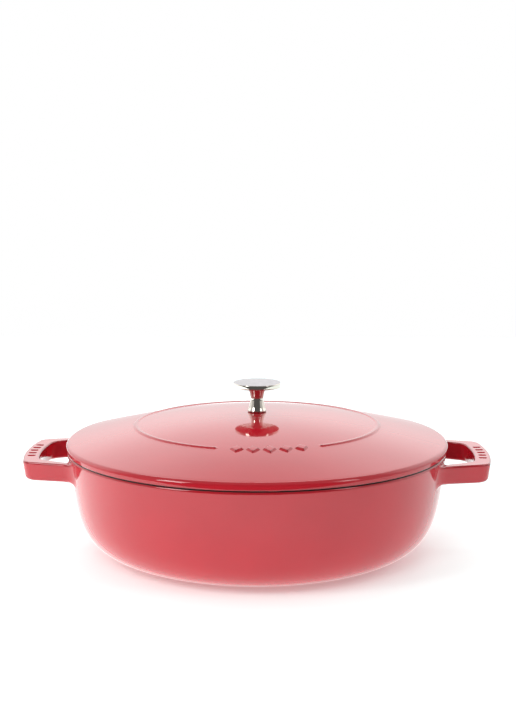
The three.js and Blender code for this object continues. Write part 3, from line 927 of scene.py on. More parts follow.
def pan_mesh(pan, handle):
    """Points, faces and finishes of the whole pan casting."""
    wall = Wall(pan)
    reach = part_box("pan")[1].x
    half = handle_rings(pan, handle, wall, reach)
    landing = half[0]
    turns = [math.atan2(p.y, p.x) for p in landing]
    wide, narrow = -min(turns) + PATCH_TURN_MARGIN, -max(turns) - PATCH_TURN_MARGIN
    patch_low = min(p.z for p in landing) - PATCH_LOW_MARGIN
    rows, patch_row, rim_row, foot_rows = pan_profile(pan, wall, patch_low)
    spans = [
        (-wide, -narrow, SECTION_SIDE),
        (-narrow, narrow, BETWEEN_ARMS_COLUMNS),
        (narrow, wide, SECTION_SIDE),
        (wide, math.pi - wide, SIDE_COLUMNS),
    ]
    angles = [a + (b - a) * i / n for a, b, n in spans for i in range(n)]
    angles += [a + math.pi for a in angles]
    second = SECTION_SIDE + BETWEEN_ARMS_COLUMNS
    starts = [0, second, len(angles) // 2, len(angles) // 2 + second]
    grid = Turning(rows, angles)

    def in_patch(row, column):
        if not patch_row <= row < patch_row + SECTION_SIDE:
            return False
        return any(s <= column < s + SECTION_SIDE for s in starts)

    def finish_of(row):
        if row < foot_rows:
            return WORN if rows[row].y < pan.foot_recess / 2 else BLACK
        return RED if row < rim_row else BLACK

    faces, finishes = grid.faces(finish_of, in_patch)
    points = grid.points
    for side in range(2):
        rings = []
        for mirror in (False, True):
            start = starts[side * 2 + (1 if mirror else 0)]
            arm = [turned_ring(ring, mirror, side == 1) for ring in half]
            border, between = wall_patch(
                grid, wall, arm[0], patch_row, (start, start + SECTION_SIDE), mirror
            )
            indices = [border]
            for ring in between + (arm[:-1] if mirror else arm):
                indices.append(list(range(len(points), len(points) + len(ring))))
                points += ring
            rings.append(indices)
        chain = rings[0] + rings[1][::-1]
        for here, ahead in zip(chain, chain[1:]):
            for k in range(len(here)):
                following = (k + 1) % len(here)
                faces.append([here[k], here[following], ahead[following], ahead[k]])
                finishes.append(RED)
    return points, faces, finishes


# ---------------------------------------------------------------- lid


def dome_height(lid, radius):
    """Height of the lid's outer surface at a radius."""
    shoulder = lid.radius - lid.shoulder_inset
    s = (radius / shoulder) ** 2
    return lid.seat + lid.edge_height + lid.rise * (1 - (1 + lid.flatness) * s + lid.flatness * s**2)


def dome_slope(lid, radius):
    """Slope of the lid's outer surface at a radius, below level."""
    step = mm(0.01)
    return math.atan((dome_height(lid, radius - step) - dome_height(lid, radius + step)) / (2 * step))


def bead_rise(lid, distance):
    """Height of the raised ring over the dome at a distance from its centre line: a round top that
    a fillet joins to the dome."""
    centre = lid.bead_height - lid.bead_radius
    reach = lid.bead_radius + lid.bead_foot
    spread = math.sqrt(reach**2 - (lid.bead_foot - centre) ** 2)
    meeting = spread * lid.bead_radius / reach
    if distance < meeting:
        return centre + math.sqrt(lid.bead_radius**2 - distance**2)
    if distance < spread:
        return lid.bead_foot - math.sqrt(lid.bead_foot**2 - (spread - distance) ** 2)
    return 0.0


BEAD_ROWS = [0.33 * i for i in range(-8, 9)]  # mm from the raised ring's centre line
LID_COLUMNS = 240
BEAD_END_SPREAD = math.radians(1.7)
BEAD_END_STEPS = 20
UNDERSIDE_ROWS = [20, 28, 36, 44, 52, 60, 68, 76, 84, 92, 100, 108, 114, 120, 126]  # mm from the axis
DRIP_MIDDLE = math.radians(5.9 - 90)  # a sag of the glaze on the lid's edge, near the front
DRIP_HALF = math.radians(1.6)
DRIP_DEPTH = mm(0.22)
DRIP_HEIGHT = mm(3)


def lid_profile(lid):
    """Rows of the lid's section, from the screw hole out underneath, round the edge and back over the
    dome, with the rows where the outer enamel starts and where the dome starts."""
    shoulder = lid.radius - lid.shoulder_inset

    def under(radius):
        return dome_height(lid, radius) - lid.thickness

    boss_z = dome_height(lid, 0) - lid.thickness - lid.boss_height
    inner = lid.rib_outer - lid.rib_width
    rib_z = lid.seat - lid.rib_depth
    corners = [
        (lid.hole_radius, boss_z + mm(1), 0),
        (lid.hole_radius, boss_z, mm(0.3)),
        (lid.boss_radius, boss_z, mm(1)),
        (lid.boss_radius + mm(1.2), under(lid.boss_radius + mm(1.2)), mm(1.6)),
    ]
    corners += [(mm(r), under(mm(r)), 0) for r in UNDERSIDE_ROWS]
    corners += [
        (inner - mm(0.6), under(inner - mm(0.6)), mm(2)),
        (inner + mm(0.5), rib_z, mm(1)),
        (lid.rib_outer - mm(0.5), rib_z, mm(1)),
        (lid.rib_outer, lid.seat, mm(0.8)),
        (lid.radius - mm(3), lid.seat, 0),
    ]
    rows = filleted(corners)
    round_ = lid.edge_bottom_round
    rows += arc((lid.radius - round_, lid.seat + round_), round_, -90, 0, 6)
    enamel_row = len(rows) - 5
    slope = dome_slope(lid, shoulder)
    edge_round = lid.shoulder_inset / (1 - math.sin(slope))
    centre_z = lid.seat + lid.edge_height - edge_round * math.cos(slope)
    rows += arc((lid.radius - edge_round, centre_z), edge_round, 0, 90 - math.degrees(slope), 12)
    dome_row = len(rows)
    radii = [shoulder - mm(3) * i for i in range(1, 16)]
    radii += [lid.bead_ring - mm(d) for d in BEAD_ROWS]
    radii += [lid.bead_ring - mm(d) for d in (3.4, 6)]
    radii += [mm(82 - 4.5 * i) for i in range(17)]
    rows += [Vector((r, dome_height(lid, r))) for r in radii]
    top = dome_height(lid, lid.hole_radius)
    rows += filleted(
        [
            (lid.hole_radius + mm(2), dome_height(lid, lid.hole_radius + mm(2)), 0),
            (lid.hole_radius, top, mm(0.5)),
            (lid.hole_radius, top - mm(2), 0),
        ]
    )
    return rows, enamel_row, dome_row


def lid_angles(lid):
    """Column angles, closer together where the raised ring ends."""
    ends = [lid.gap_middle + s * lid.gap_half - math.pi / 2 for s in (-1, 1)]
    clear = BEAD_END_SPREAD * 1.2
    angles = [a for a in even_angles(LID_COLUMNS) if all(abs(half_turns(a - e)) > clear for e in ends)]
    for end in ends:
        for i in range(BEAD_END_STEPS + 1):
            angles.append((end + BEAD_END_SPREAD * (2 * i / BEAD_END_STEPS - 1)) % (2 * math.pi))
    return sorted(angles)


def ring_distance(lid, radius, turn):
    """Distance of a place on the dome from the raised ring's centre line."""
    off = abs(half_turns(turn + math.pi / 2 - lid.gap_middle))
    past_end = max(0.0, lid.gap_half - off)
    return math.hypot(radius - lid.bead_ring, past_end * lid.bead_ring)


def lid_mesh(lid):
    """Points, faces and finishes of the lid casting."""
    rows, enamel_row, dome_row = lid_profile(lid)
    angles = lid_angles(lid)
    grid = Turning(rows, angles, closed=True)
    low = lid.bead_ring - mm(4)
    high = lid.bead_ring + mm(4)
    slope = dome_slope(lid, lid.bead_ring)
    for row, place in enumerate(rows):
        for column, turn in enumerate(angles):
            point = grid.points[grid.at(row, column)]
            if row >= dome_row and low < place[0] < high:
                rise = bead_rise(lid, ring_distance(lid, place[0], turn))
                out = rise * math.sin(slope) / place[0]
                point.x *= 1 + out
                point.y *= 1 + out
                point.z += rise * math.cos(slope)
            if enamel_row <= row < dome_row:
                off = half_turns(turn - DRIP_MIDDLE) / DRIP_HALF
                hang = max(0.0, 1 - (place[1] - lid.seat) / DRIP_HEIGHT)
                point.z -= DRIP_DEPTH * math.exp(-(off**2)) * hang
    last_dome = len(rows) - 3

    def finish_of(row):
        return RED if enamel_row <= row < last_dome else BLACK

    faces, finishes = grid.faces(finish_of)
    return grid.points, faces, finishes


# ---------------------------------------------------------------- repeated relief


def relief_stamp(name, outline, levels):
    """A small raised shape on its own foot: the outline scaled at each level (scale, height), closed
    on top and below."""
    points, faces = [], []
    for scale, height in levels:
        points += [Vector((x * scale, y * scale, height)) for x, y in outline]
    n = len(outline)
    for level in range(len(levels) - 1):
        for i in range(n):
            j = (i + 1) % n
            faces.append([level * n + i, level * n + j, (level + 1) * n + j, (level + 1) * n + i])
    for level, height in ((0, levels[0][1]), (len(levels) - 1, levels[-1][1])):
        points.append(Vector((0, 0, height)))
        faces += [[level * n + i, level * n + (i + 1) % n, len(points) - 1] for i in range(n)]
    return make_piece(name, points, faces, [])


# The sums of the row tree: a result, an operation and its terms, which are numbers, inputs of the tree
# or earlier results.
ROW_SUMS = (
    ("gaps", "SUBTRACT", "Count", 1.0),
    ("middle", "MULTIPLY", "gaps", 0.5),
    ("step", "SUBTRACT", "index", "middle"),
    ("turn", "MULTIPLY_ADD", "step", "Step Angle", "Middle Angle"),
    ("cosine", "COSINE", "turn"),
    ("sine", "SINE", "turn"),
    ("place x", "MULTIPLY", "cosine", "Ring Radius"),
    ("place y", "MULTIPLY", "sine", "Ring Radius"),
    ("facing", "ADD", "turn", math.pi / 2),
    ("steps out", "ABSOLUTE", "step"),
    ("shorter by", "MULTIPLY", "steps out", "Shortening"),
    ("length", "SUBTRACT", 1.0, "shorter by"),
    ("x squared", "POWER", "x", 2.0),
    ("y squared", "POWER", "y", 2.0),
    ("reach squared", "ADD", "x squared", "y squared"),
    ("reach", "SQRT", "reach squared"),
    ("share", "DIVIDE", "reach", "Dome Radius"),
    ("share squared", "POWER", "share", 2.0),
    ("steep", "MULTIPLY_ADD", "share squared", "Dome Flatness", "share squared"),
    ("share to the fourth", "MULTIPLY", "share squared", "share squared"),
    ("easing", "MULTIPLY", "share to the fourth", "Dome Flatness"),
    ("fall", "SUBTRACT", "steep", "easing"),
    ("drop", "MULTIPLY", "fall", "Dome Rise"),
    ("height", "SUBTRACT", "Top Height", "drop"),
)


def row_tree():
    """Geometry nodes that lay copies of a stamp round an arc and drape them on a dome."""
    tree = bpy.data.node_groups.new("stamps_round_an_arc", "GeometryNodeTree")
    sockets = [
        ("Geometry", "NodeSocketGeometry"),
        ("Stamp", "NodeSocketObject"),
        ("Material", "NodeSocketMaterial"),
        ("Count", "NodeSocketInt"),
        ("Ring Radius", "NodeSocketFloat"),
        ("Middle Angle", "NodeSocketFloat"),
        ("Step Angle", "NodeSocketFloat"),
        ("Shortening", "NodeSocketFloat"),
        ("Top Height", "NodeSocketFloat"),
        ("Dome Rise", "NodeSocketFloat"),
        ("Dome Radius", "NodeSocketFloat"),
        ("Dome Flatness", "NodeSocketFloat"),
        ("Hanging", "NodeSocketFloat"),
    ]
    for name, kind in sockets:
        tree.interface.new_socket(name, in_out="INPUT", socket_type=kind)
    tree.interface.new_socket("Geometry", in_out="OUTPUT", socket_type="NodeSocketGeometry")
    given = add(tree, "NodeGroupInput").outputs
    line = add(tree, "GeometryNodeMeshLine", {"Count": given["Count"]}, mode="OFFSET")
    stamp = add(tree, "GeometryNodeObjectInfo", {"Object": given["Stamp"]}, transform_space="ORIGINAL")
    position = add(tree, "GeometryNodeInputPosition").outputs[0]
    here = add(tree, "ShaderNodeSeparateXYZ", {0: position}).outputs
    known = {socket.name: socket for socket in given}
    known["index"] = add(tree, "GeometryNodeInputIndex").outputs[0]
    known["x"], known["y"] = here["X"], here["Y"]
    for result, operation, *terms in ROW_SUMS:
        inputs = {i: known.get(term, term) for i, term in enumerate(terms)}
        known[result] = add(tree, "ShaderNodeMath", inputs, operation=operation).outputs[0]
    place = add(tree, "ShaderNodeCombineXYZ", {"X": known["place x"], "Y": known["place y"]})
    on_arc = {"Geometry": line.outputs["Mesh"], "Position": place.outputs[0]}
    spread = add(tree, "GeometryNodeSetPosition", on_arc)
    facing = add(tree, "ShaderNodeCombineXYZ", {"Z": known["facing"]})
    size = add(tree, "ShaderNodeCombineXYZ", {"X": 1.0, "Y": known["length"], "Z": given["Hanging"]})
    copies = add(
        tree,
        "GeometryNodeInstanceOnPoints",
        {
            "Points": spread.outputs["Geometry"],
            "Instance": stamp.outputs["Geometry"],
            "Rotation": facing.outputs[0],
            "Scale": size.outputs[0],
        },
    )
    real = add(tree, "GeometryNodeRealizeInstances", {"Geometry": copies.outputs["Instances"]})
    lift = add(tree, "ShaderNodeCombineXYZ", {"Z": known["height"]})
    on_dome = {"Geometry": real.outputs["Geometry"], "Offset": lift.outputs[0]}
    draped = add(tree, "GeometryNodeSetPosition", on_dome)
    coated = {"Geometry": draped.outputs["Geometry"], "Material": given["Material"]}
    finished = add(tree, "GeometryNodeSetMaterial", coated)
    add(tree, "NodeGroupOutput", {"Geometry": finished.outputs["Geometry"]})
    return tree


LEVEL_ROW = {
    "Shortening": 0.0,
    "Top Height": 0.0,
    "Dome Rise": 0.0,
    "Dome Radius": 1.0,
    "Dome Flatness": 0.0,
    "Hanging": 1.0,
}


def stamped_rows(name, stamp, material, rows):
    """One plain mesh with a row of stamps for each set of inputs, made by the row tree.

    Inputs that a row leaves out are those of upright stamps of one size on a level surface.
    """
    tree = bpy.data.node_groups.get("stamps_round_an_arc") or row_tree()
    sockets = {
        item.name: item.identifier for item in tree.interface.items_tree if item.in_out == "INPUT"
    }
    whole = bmesh.new()
    for row in rows:
        holder = bpy.data.objects.new(name, bpy.data.meshes.new(name))
        bpy.context.scene.collection.objects.link(holder)
        modifier = holder.modifiers.new(name, "NODES")
        modifier.node_group = tree
        for key, value in {"Stamp": stamp, "Material": material, **LEVEL_ROW, **row}.items():
            modifier[sockets[key]] = value
        depsgraph = bpy.context.evaluated_depsgraph_get()
        made = bpy.data.meshes.new_from_object(holder.evaluated_get(depsgraph))
        if len(made.vertices) == 0:
            raise RuntimeError(f"{name}: the row tree gave no mesh")
        whole.from_mesh(made)
        holder.modifiers.clear()
        bpy.data.objects.remove(holder)
    bpy.data.objects.remove(stamp)
    bmesh.ops.recalc_face_normals(whole, faces=whole.faces)
    mesh = bpy.data.meshes.new(name)
    whole.to_mesh(mesh)
    whole.free()
    mesh.shade_smooth()
    mesh.materials.clear()
    mesh.materials.append(material)
    if "thin" in mesh.attributes:
        mesh.attributes.remove(mesh.attributes["thin"])
    mark_thin(mesh)
    piece = bpy.data.objects.new(name, mesh)
    bpy.context.scene.collection.objects.link(piece)
    return piece


NUB_RINGS = ((36, 6), (68, 12), (100, 18))  # radius in mm and number of nubs


def dome_inputs(lid, drop=0.0):
    """Inputs that drape a row on the lid's dome, or on the surface a drop below it."""
    return {
        "Top Height": dome_height(lid, 0) - drop,
        "Dome Rise": lid.rise,
        "Dome Radius": lid.radius - lid.shoulder_inset,
        "Dome Flatness": lid.flatness,
    }


# ---------------------------------------------------------------- operators


class COVEREDPAN_OT_pan(bpy.types.Operator):
    """Build the pan casting with its two loop handles"""

    bl_idname = "covered_pan.build_pan"
    bl_label = "Pan"

    def execute(self, context):
        settings = context.scene.covered_pan
        points, faces, finishes = pan_mesh(settings.pan, settings.handle)
        materials = [enamel(), black_enamel(), cached("worn_foot_ring", worn_foot)]
        piece = make_piece("pan_casting", points, faces, materials, finishes)
        # paints shade into the finger openings with the thin-glaze colour
        paint_opening_shade(piece.data, settings.pan, settings.handle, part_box("pan")[1].x)
        fit(piece, PAN_BODY, ENAMEL_SLOT, "pan")
        return {"FINISHED"}


class COVEREDPAN_OT_ribs(bpy.types.Operator):
    """Build the raised ribs on top of the grip bars"""

    bl_idname = "covered_pan.build_ribs"
    bl_label = "Grip ribs"

    def execute(self, context):
        pan, handle = context.scene.covered_pan.pan, context.scene.covered_pan.handle
        half_width, half_length = handle.rib_width / 2, handle.rib_length / 2
        end_round = half_width * 0.98
        signs = ((1, -1), (1, 1), (-1, 1), (-1, -1))
        corners = [(half_width * x, half_length * y, end_round) for x, y in signs]
        outline = [tuple(p) for p in filleted(corners, 6, closed=True)]
        h = handle.rib_height
        levels = [(1.2, -mm(0.1)), (1.1, 0), (1.02, h * 0.12), (0.95, h * 0.4), (0.86, h * 0.75)]
        levels += [(0.74, h * 0.94), (0.55, h), (0.25, h * 1.03)]
        stamp = relief_stamp("rib_stamp", outline, levels)
        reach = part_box("pan")[1].x - handle.grip_width / 2
        rows = [
            {
                "Count": handle.rib_count,
                "Ring Radius": reach,
                "Middle Angle": middle,
                "Step Angle": handle.rib_step,
                "Top Height": pan.rim_height - handle.drop,
            }
            for middle in (0.0, math.pi)
        ]
        fit(stamped_rows("grip_ribs", stamp, enamel(), rows), PAN_BODY, ENAMEL_SLOT)
        return {"FINISHED"}


class COVEREDPAN_OT_lid(bpy.types.Operator):
    """Build the lid casting with its raised ring"""

    bl_idname = "covered_pan.build_lid"
    bl_label = "Lid"

    def execute(self, context):
        points, faces, finishes = lid_mesh(context.scene.covered_pan.lid)
        piece = make_piece("lid_casting", points, faces, [enamel(), black_enamel()], finishes)
        fit(piece, LID_BODY, ENAMEL_SLOT, "lid")
        return {"FINISHED"}


class COVEREDPAN_OT_lozenges(bpy.types.Operator):
    """Build the row of raised lozenges on the front of the lid"""

    bl_idname = "covered_pan.build_lozenges"
    bl_label = "Lozenges"

    def execute(self, context):
        lid = context.scene.covered_pan.lid
        half_width, half_length = lid.lozenge_width / 2, lid.lozenge_length / 2
        signs = ((1, 0), (0, 1), (-1, 0), (0, -1))
        corners = [(half_width * x, half_length * y, mm(0.5)) for x, y in signs]
        rounded = filleted(corners, 4, closed=True)
        outline = []
        for i, here in enumerate(rounded):
            following = rounded[(i + 1) % len(rounded)]
            outline.append(tuple(here))
            if i % 5 == 4:
                outline += [tuple(here.lerp(following, s / 4)) for s in (1, 2, 3)]
        h = lid.lozenge_height
        levels = [(1.16, -mm(0.1)), (1.08, mm(0.01))]
        levels += [(1.02, h * 0.09), (0.985, h * 0.22), (0.83, h * 0.76)]
        levels += [(0.79, h * 0.89), (0.74, h * 0.97), (0.66, h), (0.3, h * 1.01)]
        stamp = relief_stamp("lozenge_stamp", outline, levels)
        row = {
            "Count": lid.lozenge_count,
            "Ring Radius": lid.bead_ring,
            "Middle Angle": lid.gap_middle - math.pi / 2,
            "Step Angle": lid.lozenge_step,
            "Shortening": lid.lozenge_shortening,
            **dome_inputs(lid),
        }
        fit(stamped_rows("lid_lozenges", stamp, enamel(), [row]), LID_BODY, ENAMEL_SLOT)
        return {"FINISHED"}


class COVEREDPAN_OT_nubs(bpy.types.Operator):
    """Build the three rings of basting nubs under the lid"""

    bl_idname = "covered_pan.build_nubs"
    bl_label = "Basting nubs"

    def execute(self, context):
        lid = context.scene.covered_pan.lid
        outline = [(math.cos(a) * lid.nub_radius, math.sin(a) * lid.nub_radius) for a in even_angles(16)]
        h = lid.nub_height
        levels = [(1.5, -mm(0.3)), (1.28, 0), (1.06, h * 0.12), (0.9, h * 0.35), (0.74, h * 0.62)]
        levels += [(0.58, h * 0.83), (0.38, h * 0.95), (0.16, h)]
        stamp = relief_stamp("nub_stamp", outline, levels)
        rows = [
            {
                "Count": number,
                "Ring Radius": mm(radius),
                "Middle Angle": math.pi * (number - 1) / number - math.pi / 2,
                "Step Angle": 2 * math.pi / number,
                "Hanging": -1.0,
                **dome_inputs(lid, lid.thickness),
            }
            for radius, number in NUB_RINGS
        ]
        fit(stamped_rows("lid_basting_nubs", stamp, black_enamel(), rows), LID_BODY, ENAMEL_SLOT)
        return {"FINISHED"}


KNOB_TOP_ROWS = (0.8, 0.66, 0.5, 0.35, 0.2, 0.1, 0)  # shares of the disc's radius


class COVEREDPAN_OT_knob(bpy.types.Operator):
    """Build the turned knob"""

    bl_idname = "covered_pan.build_knob"
    bl_label = "Knob"

    def execute(self, context):
        knob = context.scene.covered_pan.knob
        disc = knob.height - knob.disc_depth
        rows = filleted(
            [
                (0, knob.bore_depth, 0),
                (knob.bore_radius, knob.bore_depth - knob.bore_radius / 2, 0),
                (knob.bore_radius, 0, mm(0.3)),
                (knob.base_radius, 0, mm(0.35)),
                (knob.base_radius, mm(0.9), 0),
            ]
        )
        stem = [
            Vector((knob.base_radius, mm(1))),
            Vector(((knob.base_radius + knob.waist_radius) / 2, knob.waist_height / 2.6)),
            Vector((knob.waist_radius, knob.waist_height)),
            Vector((knob.neck_radius - mm(0.4), disc - mm(2))),
            Vector((knob.neck_radius + mm(1), disc - mm(0.3))),
        ]
        rows += smooth_path(stem, 9)
        top_edge = knob.height - knob.crown
        rows += filleted(
            [
                (knob.neck_radius + mm(2.2), disc, 0),
                (knob.radius - knob.edge_inset, disc, mm(0.3)),
                (knob.radius, top_edge - mm(1.4), mm(3)),
                (knob.radius, top_edge, mm(0.6)),
                (knob.radius * 0.9, top_edge + knob.crown * (1 - 0.9**2), 0),
            ]
        )
        top_row = len(rows) - 4
        for reach in KNOB_TOP_ROWS:
            rows.append(Vector((knob.radius * reach, top_edge + knob.crown * (1 - reach**2))))
        for row in rows:
            row.y += knob.seat
        grid = Turning(rows, even_angles(96))
        faces, finishes = grid.faces(lambda row: int(row >= top_row))
        # the top face's plating has a darker tone that paints its shade
        plating = [cached("polished_nickel", polished_nickel), cached("satin_nickel", satin_nickel)]
        piece = make_piece("knob_turned", grid.points, faces, plating, finishes)
        fit(piece, LID_BODY, NICKEL_SLOT, "lid_knob")
        return {"FINISHED"}


class COVEREDPAN_OT_fastening(bpy.types.Operator):
    """Build the screw and the two washers that hold the knob"""

    bl_idname = "covered_pan.build_fastening"
    bl_label = "Screw and washers"

    def screw(self, fastening):
        """The screw: a pan head below and a threaded shank above."""
        base, top = fastening.head_base, fastening.head_base + fastening.head_depth
        crest, depth, pitch = fastening.thread_radius, fastening.thread_depth, fastening.thread_pitch
        rows = filleted(
            [
                (0, base, 0),
                (mm(2), base, 0),
                (fastening.head_radius - mm(0.3), base + mm(0.2), mm(1.6)),
                (fastening.head_radius, top, mm(0.3)),
                (crest, top, 0),
            ]
        )
        plain = len(rows)
        thread_low, thread_high = top + mm(2), fastening.shank_top
        steps = int((thread_high - thread_low) / pitch * 6)
        long = thread_high - thread_low
        rows += [Vector((crest, thread_low + long * i / steps)) for i in range(steps)]
        rows += [Vector((crest - mm(0.8), thread_high)), Vector((0, thread_high))]
        angles = even_angles(36)
        grid = Turning(rows, angles)
        for row in range(plain, plain + steps):
            from_head, from_tip = rows[row].y - thread_low, thread_high - rows[row].y
            fade = min(1.0, from_head / pitch, from_tip / pitch + 0.5)
            for column, turn in enumerate(angles):
                point = grid.points[grid.at(row, column)]
                phase = (rows[row].y / pitch - turn / (2 * math.pi)) % 1
                cut = depth * fade * (0.5 - 0.5 * math.cos(2 * math.pi * phase))
                point.x *= 1 - cut / crest
                point.y *= 1 - cut / crest
        faces, finishes = grid.faces()
        piece = make_piece("knob_screw_threaded", grid.points, faces, [plated_steel()], finishes)
        self.cut_recess(piece, base)
        fit(piece, LID_BODY, STEEL_SLOT, "knob_screw")

    def cut_recess(self, piece, base):
        """Cuts the tapered cross recess into the underside of the head."""
        wing, web, deep, below = mm(3.4), mm(0.75), mm(2), mm(0.6)
        points, faces = [], []
        for scale, z in ((1.12, base - below), (0.55, base + deep)):
            thick = web * (0.7 + 0.3 * scale)
            long = wing * scale
            cross = [(thick, -long), (thick, -thick), (long, -thick), (long, thick), (thick, thick)]
            cross += [(thick, long), (-thick, long), (-thick, thick), (-long, thick), (-long, -thick)]
            cross += [(-thick, -thick), (-thick, -long)]
            points += [Vector((x, y, z)) for x, y in cross]
        faces = [[i, (i + 1) % 12, 12 + (i + 1) % 12, 12 + i] for i in range(12)]
        faces += [list(range(12)), list(range(12, 24))]
        cutter = make_piece("recess_cutter", points, faces, [])
        modifier = piece.modifiers.new("recess", "BOOLEAN")
        modifier.object = cutter
        modifier.operation = "DIFFERENCE"
        modifier.solver = "EXACT"
        depsgraph = bpy.context.evaluated_depsgraph_get()
        cut = bpy.data.meshes.new_from_object(piece.evaluated_get(depsgraph))
        piece.modifiers.clear()
        piece.data = cut
        bpy.data.objects.remove(cutter)
        cut.set_sharp_from_angle(angle=math.radians(40))

    def flat_washer(self, fastening):
        """The flat washer: stamped, so one outer edge is rounded and the other is crisp."""
        low = fastening.flat_washer_base
        high = low + fastening.flat_washer_thickness
        rows = filleted(
            [
                (fastening.washer_bore, low, mm(0.1)),
                (fastening.flat_washer_radius, low, mm(0.45)),
                (fastening.flat_washer_radius, high, mm(0.1)),
                (fastening.washer_bore, high, mm(0.25)),
            ],
            closed=True,
        )
        grid = Turning(rows, even_angles(64), closed=True)
        faces, finishes = grid.faces()
        piece = make_piece("flat_washer_stamped", grid.points, faces, [plated_steel()], finishes)
        fit(piece, LID_BODY, STEEL_SLOT, "flat_washer")

    def spring_washer(self, fastening):
        """The spring washer: one turn of square wire with a split, its ends a little apart in height."""
        low, thick = fastening.spring_washer_base, fastening.spring_washer_thickness
        inner, outer = fastening.washer_bore, fastening.spring_washer_radius
        section = filleted(
            [
                (inner, 0, mm(0.2)),
                (outer, 0, mm(0.2)),
                (outer, thick - mm(0.15), mm(0.2)),
                (inner, thick - mm(0.15), mm(0.2)),
            ],
            3,
            closed=True,
        )
        gap = fastening.spring_washer_split / 2 / ((inner + outer) / 2)
        turns = 60
        n = len(section)
        points, faces = [], []
        for i in range(turns + 1):
            turn = gap + (2 * math.pi - 2 * gap) * i / turns
            rise = low + mm(0.15) * i / turns
            points += [Vector((p.x * math.cos(turn), p.x * math.sin(turn), p.y + rise)) for p in section]
        for i in range(turns):
            for k in range(n):
                j = (k + 1) % n
                faces.append([i * n + k, i * n + j, (i + 1) * n + j, (i + 1) * n + k])
        faces += [list(range(n)), list(range(turns * n, (turns + 1) * n))]
        piece = make_piece("spring_washer_split", points, faces, [plated_steel()])
        piece.data.set_sharp_from_angle(angle=math.radians(50))
        fit(piece, LID_BODY, STEEL_SLOT, "spring_washer")

    def execute(self, context):
        fastening = context.scene.covered_pan.fastening
        self.screw(fastening)
        self.flat_washer(fastening)
        self.spring_washer(fastening)
        return {"FINISHED"}


FLOOR_GAP = mm(0.15)  # between the foot ring and the sweep
GLOW_ENDS = (0.25, -0.35)  # where the glow of the sweep has its right and left values, in metres

# Where each part of the room starts and is full: an axis and two places along it of a direction one
# metre long.
ROOM_FADES = {
    "up the back": ("Z", -0.05, 0.35),
    "round to the sides": ("Y", 0.3, -0.1),
    "overhead": ("Z", 0.5, 0.9),
    "in front": ("Y", -0.5, -0.7),
    "under the ceiling": ("Z", 0.88, 0.7),
    "this side of the pan": ("Y", 0.0, -0.1),
    "under the table": ("Z", 0.02, -0.04),
}

SOFT_BOX_TARGET = (0, 0, 0.08)
# name, its power on the stage, place and size in metres, and whether the glaze mirrors it
SOFT_BOXES = (
    ("soft_box_left", "left_power", (-1.0, -0.84, 0.8), (0.4, 0.6), True),
    ("soft_box_right", "right_power", (1.2, -0.75, 1.0), (0.3, 0.6), True),
    ("strip_above", "top_power", (0, 0.85, 1.25), (1.4, 0.22), True),
    ("fill_above_camera", "fill_power", (-0.25, -1.3, 0.9), (0.8, 0.8), False),
)


